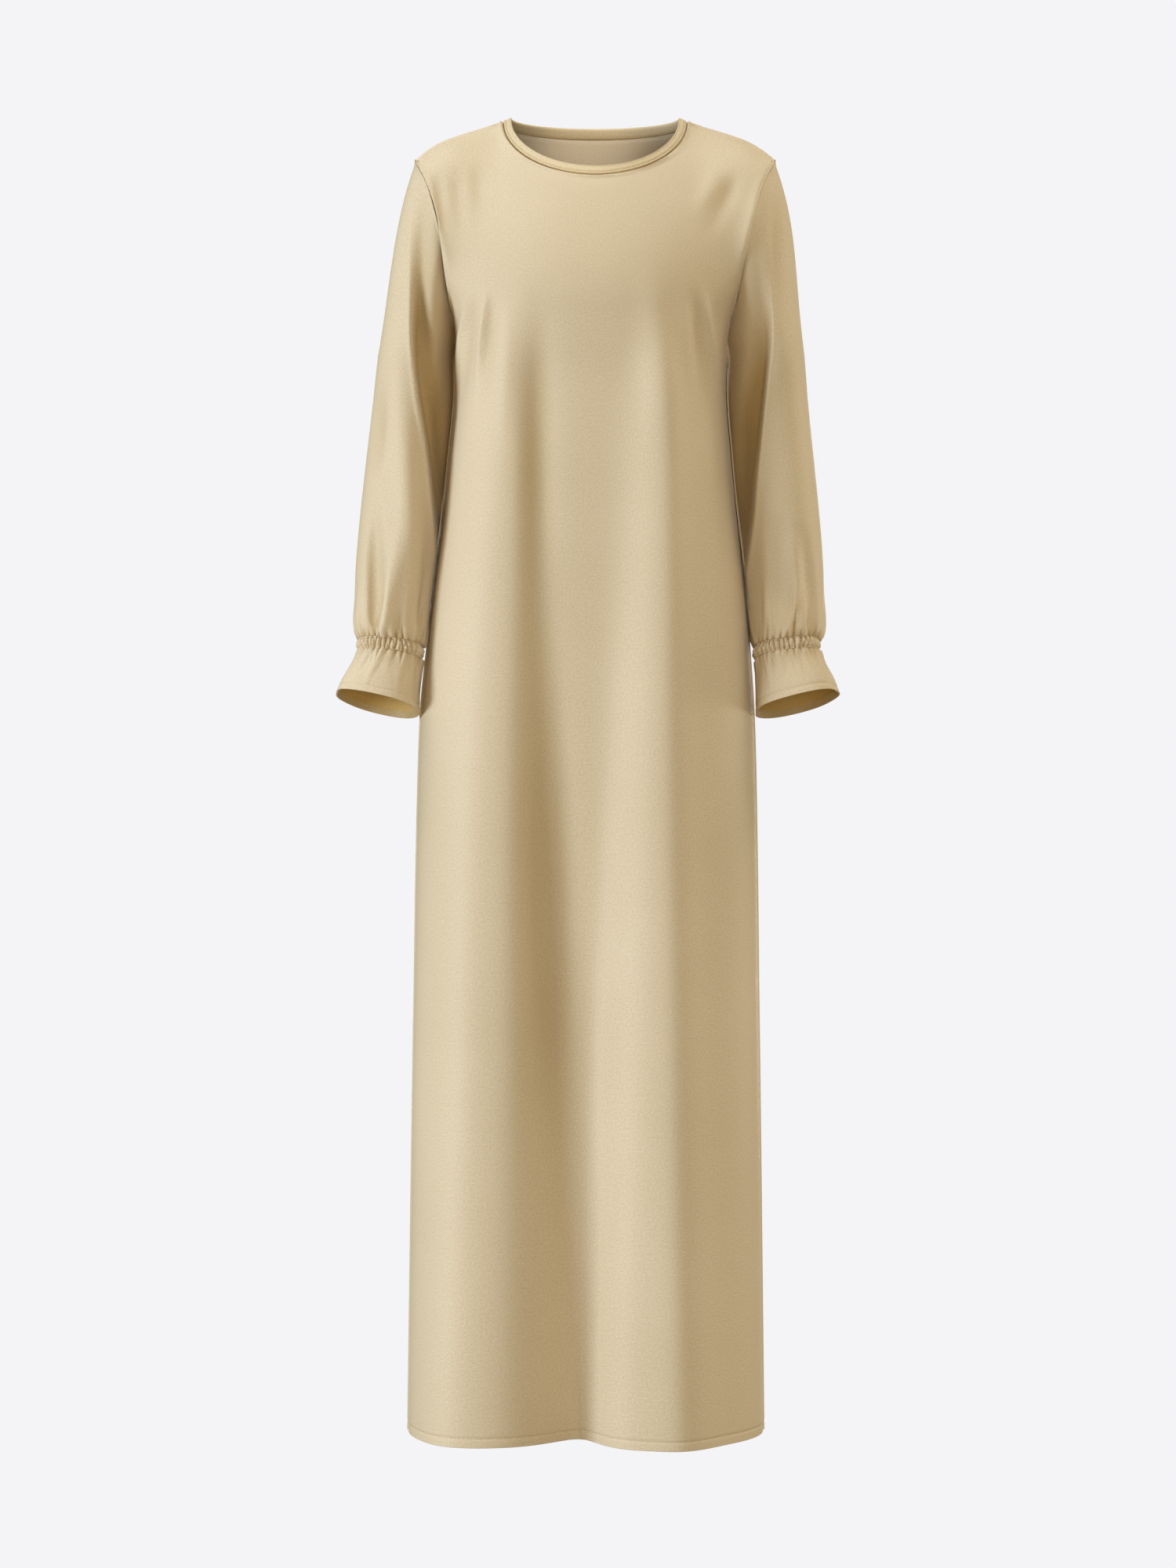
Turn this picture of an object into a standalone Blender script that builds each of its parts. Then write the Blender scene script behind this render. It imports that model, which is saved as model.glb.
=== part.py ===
"""A plain full-length abaya in satin crepe, worn and hollow, with long sleeves gathered at the wrist.

Metres, +Z up, and the front faces -Y. The origin lies midway between the two neck points, where the
garment hangs from the wearer's shoulders. Every piece that a maker cuts is one closed wall of cloth.
"""

import math
from collections import defaultdict, namedtuple

import bmesh
import bpy
from mathutils import Vector

# Cloth
WALL = 0.0014
HEM_WALL = 0.0026
SEAM_GAP = 0.0003
LEAST_SLANT = 0.12
BINDING_PROUD = 0.0005
CLOTH_COLOUR = (0.72, 0.61, 0.41, 1.0)
BINDING_COLOUR = (0.66, 0.55, 0.35, 1.0)

# Heights, down from the neck points
LENGTH = 1.377
SHOULDER_TIP_Z = -0.045
ARMPIT_Z = -0.212
HEM_DEPTH = 0.010

# Shoulder seam: it falls at an even slope and then rounds over at the tip
SHOULDER_HALF = 0.188
SHOULDER_SLOPE = 0.345
TIP_ROUND_FROM = 0.150

# Necklines as half loops: half width, height at the side, and reach and height at the middle
Neckline = namedtuple("Neckline", "half side_z front front_z back back_z")
NECK_SEAM = Neckline(0.096, -0.0035, 0.067, -0.069, 0.058, -0.011)
NECK_EDGE = Neckline(0.088, 0.0, 0.0635, -0.060, 0.054, -0.002)

# The body's sections are rounded boxes: half width at the side seams, and depth before and behind
SECTION_ROUND = 2.35
Section = namedtuple("Section", "z half front back")
BODY = (
    Section(-0.212, 0.1450, 0.1155, 0.0975),
    Section(-0.245, 0.1418, 0.1180, 0.0965),
    Section(-0.290, 0.1403, 0.1200, 0.0960),
    Section(-0.360, 0.1465, 0.121, 0.098),
    Section(-0.420, 0.1525, 0.120, 0.100),
    Section(-0.503, 0.1627, 0.119, 0.104),
    Section(-0.563, 0.1693, 0.119, 0.107),
    Section(-0.630, 0.1745, 0.120, 0.110),
    Section(-0.767, 0.1780, 0.121, 0.114),
    Section(-0.914, 0.1800, 0.124, 0.117),
    Section(-1.062, 0.1821, 0.127, 0.120),
    Section(-1.377, 0.1860, 0.130, 0.126),
)

# The armhole, as the edge of each panel: how far out it lies, and how far before or behind
Armhole = namedtuple("Armhole", "z front_x front_y back_x back_y")
ARMHOLE = (
    Armhole(-0.045, 0.1880, 0.000, 0.1880, 0.000),
    Armhole(-0.048, 0.1866, 0.011, 0.1872, 0.008),
    Armhole(-0.055, 0.1830, 0.022, 0.1852, 0.016),
    Armhole(-0.065, 0.1780, 0.032, 0.1820, 0.023),
    Armhole(-0.080, 0.1722, 0.042, 0.1780, 0.030),
    Armhole(-0.110, 0.1640, 0.055, 0.1720, 0.040),
    Armhole(-0.150, 0.1560, 0.058, 0.1650, 0.046),
    Armhole(-0.190, 0.1495, 0.040, 0.1565, 0.034),
    Armhole(-0.205, 0.1468, 0.022, 0.1500, 0.020),
    Armhole(-0.212, 0.1450, 0.000, 0.1450, 0.000),
)

# The whole garment leans a little as it hangs
Sway = namedtuple("Sway", "z x")
SWAY = (
    Sway(0.0, 0.0058),
    Sway(-0.100, 0.0056),
    Sway(-0.200, 0.0030),
    Sway(-0.300, 0.0010),
    Sway(-0.500, -0.0003),
    Sway(-0.630, -0.0025),
    Sway(-1.377, -0.0040),
)

# Body folds run from a start height to the hem. Height is how far a fold stands out, and a trough is
# negative. Reach is its half width to either side, and edge is 2 for a round fold and 4 for a flat one.
Fold = namedtuple(
    "Fold",
    "panel x_top x_hem start height_top height_hem left_top left_hem right_top right_hem edge_top",
)
FOLDS = (
    Fold("front", -0.005, -0.008, -0.190, -0.0095, -0.066, 0.062, 0.052, 0.064, 0.028, 6.5),
    Fold("front", -0.105, -0.135, -0.230, 0.003, 0.026, 0.026, 0.030, 0.022, 0.032, 2.0),
    Fold("front", 0.076, 0.092, -0.210, 0.007, 0.021, 0.020, 0.034, 0.018, 0.042, 2.0),
    Fold("back", -0.050, -0.058, -0.240, -0.004, -0.034, 0.030, 0.036, 0.034, 0.034, 2.5),
    Fold("back", 0.046, 0.064, -0.260, -0.003, -0.030, 0.030, 0.030, 0.028, 0.040, 2.5),
    Fold("back", 0.000, 0.004, -0.300, 0.002, 0.010, 0.024, 0.026, 0.024, 0.028, 2.0),
    Fold("back", -0.118, -0.128, -0.300, 0.002, 0.014, 0.020, 0.026, 0.020, 0.028, 2.0),
)
FOLD_FADE = 0.10
FOLD_GROWTH = 1.5

# Sleeve sections, for the wearer's left arm: middle, half width, half depth, and the tilt of the
# section in degrees, outer side up (roll) and front up (pitch). Tuck is how far its inner corner at
# the back is drawn in behind the body.
Ring = namedtuple("Ring", "z x half y depth roll pitch tuck")
SLEEVE = (
    Ring(-0.2500, 0.1873, 0.0367, -0.002, 0.0560, 0.0, 0.0, 0.022),
    Ring(-0.3000, 0.1884, 0.0403, 0.003, 0.0560, 0.0, 0.0, 0.025),
    Ring(-0.3600, 0.1934, 0.0419, 0.004, 0.0560, 0.0, 1.0, 0.027),
    Ring(-0.4200, 0.1993, 0.0421, 0.001, 0.0560, 0.0, 2.0, 0.027),
    Ring(-0.4700, 0.2041, 0.0411, -0.002, 0.0550, 1.0, 3.0, 0.026),
    Ring(-0.5030, 0.2062, 0.0397, -0.006, 0.0525, 2.0, 4.0, 0.024),
    Ring(-0.5300, 0.2077, 0.0380, -0.016, 0.0480, 4.0, 6.0, 0.014),
    Ring(-0.5450, 0.2072, 0.0352, -0.026, 0.0390, 6.0, 9.0, 0.004),
    Ring(-0.5525, 0.2060, 0.0318, -0.030, 0.0310, 7.0, 10.0, 0.0),
)
CASING = (
    Ring(-0.5525, 0.2060, 0.0318, -0.030, 0.0310, 7.0, 10.0, 0.0),
    Ring(-0.5590, 0.2060, 0.0316, -0.031, 0.0308, 7.0, 10.0, 0.0),
    Ring(-0.5655, 0.2062, 0.0318, -0.032, 0.0310, 7.5, 10.0, 0.0),
)
FRILL = (
    Ring(-0.5655, 0.2062, 0.0318, -0.032, 0.0310, 7.5, 10.0, 0.0),
    Ring(-0.5780, 0.2090, 0.0352, -0.033, 0.0345, 9.0, 11.0, 0.0),
    Ring(-0.5960, 0.2140, 0.0405, -0.035, 0.0400, 11.0, 12.0, 0.0),
    Ring(-0.6070, 0.2164, 0.0430, -0.036, 0.0425, 12.0, 13.0, 0.0),
    Ring(-0.6160, 0.2180, 0.0446, -0.037, 0.0440, 13.0, 13.0, 0.0),
)
# How square the sleeve's sections are, from 2 for an ellipse
SLEEVE_ROUND = 2.15
# The angle of the tuck's corner, and how slowly the sleeve's cap comes to it
TUCK_TURN = 222
CAP_TUCK_POWER = 1.6
# A sleeve lies beside the body with this gap, and bends round it over about this length
REST_GAP = 0.0022
REST_ROUND = 0.005
# How far the cap bows out below the shoulder tip, and where its curve, share * (1 - share) ** 2, is highest
CAP_BULGE = 0.0065
CAP_CURVE_TOP = 4 / 27

# Sleeve folds, as angles from the outer side over the front, and how they travel down the arm
SleeveFold = namedtuple("SleeveFold", "side turn_top turn_end start end height reach")
SLEEVE_FOLDS = (
    SleeveFold("right", 115, 190, -0.110, -0.500, -0.0150, 26),
    SleeveFold("right", 70, 188, -0.110, -0.500, 0.0030, 13),
    SleeveFold("right", 58, 70, -0.400, -0.560, -0.0060, 12),
    SleeveFold("right", 95, 84, -0.430, -0.560, 0.0045, 11),
    SleeveFold("right", 140, 126, -0.440, -0.560, -0.0045, 12),
    SleeveFold("right", 215, 228, -0.420, -0.560, -0.0050, 14),
    SleeveFold("right", 280, 272, -0.380, -0.560, -0.0050, 16),
    SleeveFold("right", 330, 322, -0.430, -0.560, -0.0040, 13),
    SleeveFold("right", 250, 205, -0.170, -0.450, -0.0060, 20),
    SleeveFold("left", 97, 192, -0.100, -0.510, -0.0150, 26),
    SleeveFold("left", 62, 167, -0.100, -0.510, 0.0030, 13),
    SleeveFold("left", 62, 52, -0.430, -0.560, -0.0050, 12),
    SleeveFold("left", 100, 112, -0.420, -0.560, -0.0055, 13),
    SleeveFold("left", 80, 84, -0.440, -0.560, 0.0040, 10),
    SleeveFold("left", 215, 230, -0.430, -0.560, -0.0050, 14),
    SleeveFold("left", 285, 276, -0.390, -0.560, -0.0050, 16),
    SleeveFold("left", 330, 326, -0.430, -0.560, -0.0040, 13),
    SleeveFold("left", 256, 210, -0.180, -0.460, -0.0060, 20),
)

# Gathers of the elastic casing, their relief, and how far they run into the cloth beside it
GATHERS = 28
GATHER_HEIGHT = 0.0012
GATHER_RUN_UP = 0.040
GATHER_RUN_DOWN = 0.034
FRILL_WAVES = 9
FRILL_WAVE_HEIGHT = 0.0016

# Divisions of the mesh
SHOULDER_STRIPS = 6
ARMHOLE_STRIPS = 14
CAP_STRIPS = 5
SKIRT_ROWS = (-0.250, -0.300, -0.360, -0.430, -0.510, -0.620, -0.760, -0.930, -1.140)
ARM_ROWS = (-0.275, -0.305, -0.340, -0.380, -0.420, -0.460, -0.490, -0.512)
WRIST_ROWS = (-0.530, -0.5425)
SHARP_ANGLE = 50

# A cloth piece before it has its wall: its own points and faces, and how far the wall reaches out of
# and in from each point
Sheet = namedtuple("Sheet", "name points faces out inward colour")

# The plan of a panel: strips across it, and how it leaves the shoulder line. The cloth turns over the
# shoulder tip in a quarter circle. neck_over says how much of that turn is left beside the neck, and
# the rest slopes off to the armpit level by a power, which is 1 for a straight slope.
PanelPlan = namedtuple("PanelPlan", "name toward strips neck_over")
FRONT = PanelPlan("front", -1, 26, 0.0)
BACK = PanelPlan("back", 1, 22, 0.8)
SLOPE_POWER = 1.8
# How quickly the neckline's own depth gives way to the yoke's, down to the armpit
NECKLINE_PULL = 3
# A share of the half width to this power is near 0 but for the last tenth before the side seam
EDGE_POWER = 8


def mix(a, b, share):
    return a + (b - a) * share


def smooth(share):
    share = min(max(share, 0.0), 1.0)
    return share * share * (3 - 2 * share)


def row_at(table, z):
    """The row of a table at height z, on a smooth curve through the rows that it states."""
    if z >= table[0].z:
        return table[0]
    if z <= table[-1].z:
        return table[-1]
    last = max(i for i, row in enumerate(table) if row.z >= z)
    above, below = table[last], table[last + 1]
    before, after = table[max(last - 1, 0)], table[min(last + 2, len(table) - 1)]
    fall = below.z - above.z
    t = (z - above.z) / fall
    values = []
    for a, b, c, d in zip(before, above, below, after):
        slope_b = (c - a) / (below.z - before.z) * fall
        slope_c = (d - b) / (after.z - above.z) * fall
        values.append(
            b * (1 + 2 * t) * (1 - t) ** 2
            + slope_b * t * (1 - t) ** 2
            + c * t * t * (3 - 2 * t)
            - slope_c * t * t * (1 - t)
        )
    return type(above)(*values)


def swayed(x, y, z):
    return Vector((x + row_at(SWAY, z).x, y, z))


def roundness(across):
    """How deep a rounded box section is, as a share, at a share of its half width."""
    return max(1 - abs(across) ** SECTION_ROUND, 0.0) ** (1 / SECTION_ROUND)


def neck_point(line, turn, toward):
    """A point of a neckline: turn runs from 0 at the wearer's left neck point to pi at the right."""
    reach, middle_z = (line.front, line.front_z) if toward < 0 else (line.back, line.back_z)
    bow = math.sin(turn)
    return Vector((line.half * math.cos(turn), toward * reach * bow, mix(line.side_z, middle_z, bow)))


def shoulder_z(x):
    """Height of the shoulder seam, which is carried on in thought across the neck opening."""
    past_tip_round = max(abs(x) - TIP_ROUND_FROM, 0.0) / (SHOULDER_HALF - TIP_ROUND_FROM)
    tip_before_rounding = NECK_SEAM.side_z - SHOULDER_SLOPE * (SHOULDER_HALF - NECK_SEAM.half)
    if abs(x) < NECK_SEAM.half:
        slope = SHOULDER_SLOPE * (x * x / NECK_SEAM.half - NECK_SEAM.half) / 2
    else:
        slope = SHOULDER_SLOPE * (abs(x) - NECK_SEAM.half)
    return NECK_SEAM.side_z - slope - (tip_before_rounding - SHOULDER_TIP_Z) * past_tip_round**2


def yoke_depth(plan, x, z):
    """How far before or behind the shoulder line the cloth lies, above the armpit level."""
    edge = row_at(ARMHOLE, z)
    edge_x, edge_y = (edge.front_x, edge.front_y) if plan.toward < 0 else (edge.back_x, edge.back_y)
    depth = BODY[0].front if plan.toward < 0 else BODY[0].back
    top_z = shoulder_z(x)
    share = min(max((top_z - z) / (top_z - ARMPIT_Z), 0.0), 1.0)
    past_neck = (abs(x) - NECK_SEAM.half) / (SHOULDER_HALF - NECK_SEAM.half)
    over = math.sqrt(1 - (1 - share) ** 2)
    slope = 1 - (1 - share) ** SLOPE_POWER
    curve = mix(slope, over, mix(plan.neck_over, 1.0, smooth(past_neck)))
    across = min(abs(x) / edge_x, 1.0)
    inset = roundness(across)
    return depth * curve * inset + edge_y * (1 - inset) * across**EDGE_POWER


def edge_place(plan, strip):
    """Where a panel's edge lies, seen from the front: along the shoulder seam, then down the armhole."""
    if strip <= SHOULDER_STRIPS:
        x = mix(NECK_SEAM.half, SHOULDER_HALF, strip / SHOULDER_STRIPS)
        return x, shoulder_z(x)
    share = (strip - SHOULDER_STRIPS) / ARMHOLE_STRIPS
    quick = 1 - math.cos(math.pi / 2 * share)
    even = (1 - math.cos(math.pi * share)) / 2
    z = mix(SHOULDER_TIP_Z, ARMPIT_Z, (quick + even) / 2)
    edge = row_at(ARMHOLE, z)
    return (edge.front_x if plan.toward < 0 else edge.back_x), z


def across_share(column, plan):
    """A column's place across a section, from 1 at the left side seam to -1 at the right."""
    angle = math.pi * column / plan.strips
    return math.copysign(abs(math.cos(angle)) ** (2 / SECTION_ROUND), math.cos(angle))


def yoke_row(plan, strip):
    """One row of the yoke: evenly between neckline and armpit in its middle, with its ends on the edge.

    The neckline draws the rows near it to its own depth.
    """
    share = strip / (SHOULDER_STRIPS + ARMHOLE_STRIPS)
    edge_x, edge_z = edge_place(plan, strip)
    bow_x = edge_x - mix(NECK_SEAM.half, BODY[0].half, share)
    bow_z = edge_z - mix(NECK_SEAM.side_z, ARMPIT_Z, share)
    points = []
    for column in range(plan.strips + 1):
        run = column / plan.strips
        top = neck_point(NECK_SEAM, math.pi * run, plan.toward)
        left, right = (1 - run) ** 2, run**2
        x = mix(top.x, across_share(column, plan) * BODY[0].half, share) + (left - right) * bow_x
        z = mix(top.z, ARMPIT_Z, share) + (left + right) * bow_z
        to_neckline = abs(top.y) - yoke_depth(plan, top.x, top.z)
        fall = (top.z - z) / (top.z - ARMPIT_Z)
        depth = yoke_depth(plan, x, z) + to_neckline * (1 - fall) ** NECKLINE_PULL
        points.append(swayed(x, plan.toward * depth, z))
    return points


def fold_height(panel, x, z):
    """How far the body's folds stand out at a place: below zero in a trough."""
    height = 0.0
    for fold in FOLDS:
        if fold.panel != panel or z >= fold.start:
            continue
        fall = (fold.start - z) / (fold.start + LENGTH)
        centre = mix(fold.x_top, fold.x_hem, fall)
        if x < centre:
            reach = mix(fold.left_top, fold.left_hem, fall)
        else:
            reach = mix(fold.right_top, fold.right_hem, fall)
        edge = mix(fold.edge_top, 2.0, fall)
        fade_in = smooth((fold.start - z) / FOLD_FADE)
        full = mix(fold.height_top, fold.height_hem, fall**FOLD_GROWTH)
        height += fade_in * full * math.exp(-(abs((x - centre) / reach) ** edge))
    return height


def skirt_point(plan, across, z):
    section = row_at(BODY, z)
    depth = section.front if plan.toward < 0 else section.back
    x, y = across * section.half, plan.toward * depth * roundness(across)
    outward = Vector((x / section.half**2, y / depth**2))
    outward.normalize()
    height = fold_height(plan.name, x, z) * (1 - across**EDGE_POWER)
    return swayed(x + outward.x * height, y + outward.y * height, z)


def panel_rows(plan):
    """The rows of points of the front or the back, from the neckline down to the hem."""
    rows = [yoke_row(plan, strip) for strip in range(SHOULDER_STRIPS + ARMHOLE_STRIPS)]
    for z in (ARMPIT_Z, *SKIRT_ROWS, HEM_DEPTH - LENGTH, -LENGTH):
        places = [across_share(column, plan) for column in range(plan.strips + 1)]
        rows.append([skirt_point(plan, across, z) for across in places])
    return rows


def section_point(ring, turn):
    """A point of a tilted sleeve section: turn is 0 on its outer side and a quarter on its front."""
    across = math.copysign(abs(math.cos(turn)) ** (2 / SLEEVE_ROUND), math.cos(turn)) * ring.half
    ahead = math.copysign(abs(math.sin(turn)) ** (2 / SLEEVE_ROUND), math.sin(turn)) * ring.depth
    roll, pitch = math.radians(ring.roll), math.radians(ring.pitch)
    outward = Vector((math.cos(roll), 0, math.sin(roll)))
    forward = Vector((0, -math.cos(pitch), math.sin(pitch)))
    return Vector((ring.x, ring.y, ring.z)) + across * outward + ahead * forward


def sleeve_fold_height(side, turn, z):
    height = 0.0
    for fold in SLEEVE_FOLDS:
        if fold.side != side or not fold.end < z < fold.start:
            continue
        run = (fold.start - z) / (fold.start - fold.end)
        centre = mix(fold.turn_top, fold.turn_end, run**FOLD_GROWTH)
        away = (math.degrees(turn) - centre + 180) % 360 - 180
        height += fold.height * math.sin(math.pi * run) * math.exp(-((away / fold.reach) ** 2))
    return height


def beside_body(point):
    """The point, moved out where the body would be in its way, so that the sleeve lies beside it."""
    section = row_at(BODY, point.z)
    depth = section.front if point.y < 0 else section.back
    least = section.half * roundness(point.y / depth) + REST_GAP
    spare = point.x - least
    return Vector((least + (spare + math.hypot(spare, REST_ROUND)) / 2, point.y, point.z))


def tuck_share(turn):
    """How much of a ring's tuck a point at this turn has: all of it at the inner corner behind."""
    return max(math.cos(turn - math.radians(TUCK_TURN)), 0.0) ** 2


def sleeve_ring(side, ring, count):
    """One ring of a sleeve or cuff, with its folds, as the wearer's left arm has it."""
    points = []
    for i in range(count):
        turn = 2 * math.pi * i / count
        point = section_point(ring, turn)
        centre = Vector((ring.x, ring.y, ring.z))
        point += (point - centre).normalized() * sleeve_fold_height(side, turn, ring.z)
        point.x -= ring.tuck * tuck_share(turn)
        points.append(beside_body(point))
    return points


def cap_rings(side, armhole):
    """Rings between the armhole and the first whole section, bowed out over the shoulder."""
    below = sleeve_ring(side, SLEEVE[0], len(armhole))
    rings = []
    for strip in range(1, CAP_STRIPS):
        share = strip / CAP_STRIPS
        bow = CAP_BULGE * share * (1 - share) ** 2 / CAP_CURVE_TOP
        ring = []
        for i, (start, end) in enumerate(zip(armhole, below)):
            turn = 2 * math.pi * i / len(armhole)
            outward = Vector((math.cos(turn), -math.sin(turn), 0))
            fold = sleeve_fold_height(side, turn, mix(start.z, end.z, share)) * share
            over = 0.5 * (1 + math.cos(turn))
            point = start.lerp(end, share) + outward * (bow * over + fold)
            point.x += SLEEVE[0].tuck * tuck_share(turn) * (share - share**CAP_TUCK_POWER)
            ring.append(point)
        rings.append(ring)
    return rings


def placed(ring, side):
    """The ring on its own side of the garment, leaning as the garment does."""
    sign = 1 if side == "left" else -1
    return [swayed(sign * point.x, point.y, point.z) for point in ring]


def strip_faces(upper, lower, closed):
    """Quads between two rows of point numbers, or triangles where the lower row is twice as fine."""
    faces = []
    steps = len(upper) if closed else len(upper) - 1
    double = len(lower) > len(upper) + 1
    for i in range(steps):
        j = (i + 1) % len(upper)
        if not double:
            faces.append((upper[i], upper[j], lower[j], lower[i]))
            continue
        a, b, c = lower[2 * i], lower[2 * i + 1], lower[(2 * i + 2) % len(lower)]
        faces += [(upper[i], b, a), (upper[i], upper[j], b), (upper[j], c, b)]
    return faces


def sheet_of(name, rows, out, inward, colour, closed=False, flip=False):
    """Rows of points joined to a sheet. out and inward are one row of wall sizes, or a value, a row."""
    points, numbers = [], []
    for row in rows:
        numbers.append(range(len(points), len(points) + len(row)))
        points += row
    faces = []
    for upper, lower in zip(numbers, numbers[1:]):
        faces += strip_faces(upper, lower, closed)
    if flip:
        faces = [tuple(reversed(face)) for face in faces]
    reach = [value for row, size in zip(rows, out) for value in spread(size, len(row))]
    depth = [value for row, size in zip(rows, inward) for value in spread(size, len(row))]
    return Sheet(name, points, faces, reach, depth, colour)


def spread(size, count):
    return list(size) if isinstance(size, (list, tuple)) else [size] * count


def gathers(count, height):
    """Relief of the gathers round one ring: every other point is raised."""
    return [height * (i % 2) for i in range(count)]


def panel_sheet(plan, rows):
    inward = [WALL] * (len(rows) - 1) + [HEM_WALL]
    return sheet_of(plan.name, rows, [0.0] * len(rows), inward, CLOTH_COLOUR, flip=plan.toward > 0)


def sleeve_sheets(side, front_rows, back_rows):
    """The sleeve, its casing and its frill, on one side."""
    edge = 0 if side == "left" else -1
    tip, armpit = SHOULDER_STRIPS, SHOULDER_STRIPS + ARMHOLE_STRIPS
    armhole = [row[edge] for row in front_rows[tip : armpit + 1]]
    armhole += [row[edge] for row in reversed(back_rows[tip + 1 : armpit])]
    sign = 1 if side == "left" else -1
    as_left = [Vector((sign * (p.x - row_at(SWAY, p.z).x), p.y, p.z)) for p in armhole]
    turned = side == "right"
    coarse, fine = len(armhole), 2 * GATHERS

    rings = [sleeve_ring(side, row_at(SLEEVE, z), coarse) for z in (SLEEVE[0].z, *ARM_ROWS)]
    wrist = [sleeve_ring(side, row_at(SLEEVE, z), fine) for z in (*WRIST_ROWS, SLEEVE[-1].z)]
    rows = [armhole]
    rows += [placed(ring, side) for ring in cap_rings(side, as_left) + rings + wrist]
    out = [0.0] * (len(rows) - len(wrist))
    for z in (*WRIST_ROWS, SLEEVE[-1].z):
        near = 1 - (z - SLEEVE[-1].z) / GATHER_RUN_UP
        out.append(gathers(fine, GATHER_HEIGHT * near))
    sleeve = sheet_of(
        f"sleeve_{side}", rows, out, [WALL] * len(rows), CLOTH_COLOUR, closed=True, flip=turned
    )

    rows = [placed(sleeve_ring(side, ring, fine), side) for ring in CASING]
    out = [gathers(fine, GATHER_HEIGHT) for _ in CASING]
    casing = sheet_of(
        f"wrist_casing_{side}", rows, out, [WALL] * len(rows), CLOTH_COLOUR, closed=True, flip=turned
    )

    rows = [placed(sleeve_ring(side, ring, fine), side) for ring in FRILL]
    out = []
    for ring in FRILL:
        near = max(1 - (FRILL[0].z - ring.z) / GATHER_RUN_DOWN, 0.0)
        wave = FRILL_WAVE_HEIGHT * (1 - near)
        relief = gathers(fine, GATHER_HEIGHT * near)
        swell = [wave * (1 + math.cos(FRILL_WAVES * 2 * math.pi * i / fine)) for i in range(fine)]
        out.append([a + b for a, b in zip(relief, swell)])
    inward = [WALL] * (len(rows) - 1) + [HEM_WALL]
    frill = sheet_of(f"cuff_frill_{side}", rows, out, inward, CLOTH_COLOUR, closed=True, flip=turned)
    return [sleeve, casing, frill]


def binding_sheet(front_rows, back_rows):
    """The narrow binding round the neck, from its own free edge to the panels' top points."""
    seam = front_rows[0][:-1] + back_rows[0][:0:-1]
    edge = []
    for plan in (FRONT, BACK):
        for i in range(plan.strips):
            step = i if plan is FRONT else plan.strips - i
            edge.append(swayed(*neck_point(NECK_EDGE, math.pi * step / plan.strips, plan.toward)))
    middle = [a.lerp(b, 0.5) for a, b in zip(edge, seam)]
    out = [BINDING_PROUD / 2, BINDING_PROUD, 0.0]
    inward = [WALL + size for size in out]
    return sheet_of("neck_binding", [edge, middle, seam], out, inward, BINDING_COLOUR, closed=True)


def place_key(point):
    return tuple(round(value * 1e6) for value in point)


def shared_normals(sheets):
    """The outward direction at each place, averaged over all the pieces that meet there."""
    normals = defaultdict(Vector)
    for sheet in sheets:
        for face in sheet.faces:
            corners = [sheet.points[i] for i in face]
            for a, b, c in zip(corners, corners[1:] + corners[:1], corners[2:] + corners[:2]):
                corner = (a - b).angle(c - b)
                normals[place_key(b)] += (b - a).cross(c - b).normalized() * corner
    return {key: normal.normalized() for key, normal in normals.items()}


def edge_shifts(sheet, normals):
    """For each point on a sheet's edges, the small step inwards that leaves half of the seam's gap."""
    twins = {(b, a) for face in sheet.faces for a, b in zip(face, face[1:] + face[:1])}
    inwards = defaultdict(list)
    edges = []
    for face in sheet.faces:
        corners = [sheet.points[i] for i in face]
        normal = (corners[1] - corners[0]).cross(corners[-1] - corners[0])
        for a, b in zip(face, face[1:] + face[:1]):
            if (a, b) in twins:
                continue
            edges.append((a, b))
            aside = normal.cross(sheet.points[b] - sheet.points[a]).normalized()
            for i in (a, b):
                # A wall that leaves its seam at a slant needs a longer step for the same gap.
                slant = max(normal.normalized().dot(normals[place_key(sheet.points[i])]), LEAST_SLANT)
                inwards[i].append(aside / slant)
    shifts = {}
    for i, asides in inwards.items():
        both = sum(asides, Vector())
        turn = asides[0].normalized().dot(asides[-1].normalized())
        shifts[i] = both / (1 + turn) * SEAM_GAP / 2
    return shifts, edges


def build_piece(sheet, normals, collection):
    """The sheet given its wall, as one closed mesh object with its own material."""
    shifts, edges = edge_shifts(sheet, normals)
    mesh = bpy.data.meshes.new(sheet.name)
    form = bmesh.new()
    outer, inner = [], []
    for i, point in enumerate(sheet.points):
        normal = normals[place_key(point)]
        base = point + shifts.get(i, Vector())
        outer.append(form.verts.new(base + normal * sheet.out[i]))
        inner.append(form.verts.new(base - normal * sheet.inward[i]))
    for face in sheet.faces:
        form.faces.new([outer[i] for i in face])
        form.faces.new([inner[i] for i in reversed(face)])
    # Both pieces at a seam split each edge face along the same diagonal, so that their faces match.
    for a, b in edges:
        if place_key(sheet.points[a]) < place_key(sheet.points[b]):
            form.faces.new((outer[b], outer[a], inner[b]))
            form.faces.new((outer[a], inner[a], inner[b]))
        else:
            form.faces.new((outer[b], outer[a], inner[a]))
            form.faces.new((outer[b], inner[a], inner[b]))
    form.to_mesh(mesh)
    form.free()
    mesh.shade_smooth()
    mesh.set_sharp_from_angle(angle=math.radians(SHARP_ANGLE))
    piece = bpy.data.objects.new(sheet.name, mesh)
    piece.data.materials.append(cloth_material(sheet.name, sheet.colour))
    collection.objects.link(piece)


def cloth_material(name, colour):
    material = bpy.data.materials.new(f"{name}_satin_crepe")
    material.use_nodes = True
    shader = material.node_tree.nodes["Principled BSDF"]
    shader.inputs["Base Color"].default_value = colour
    shader.inputs["Roughness"].default_value = 0.55
    shader.inputs["Metallic"].default_value = 0.0
    return material


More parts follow.
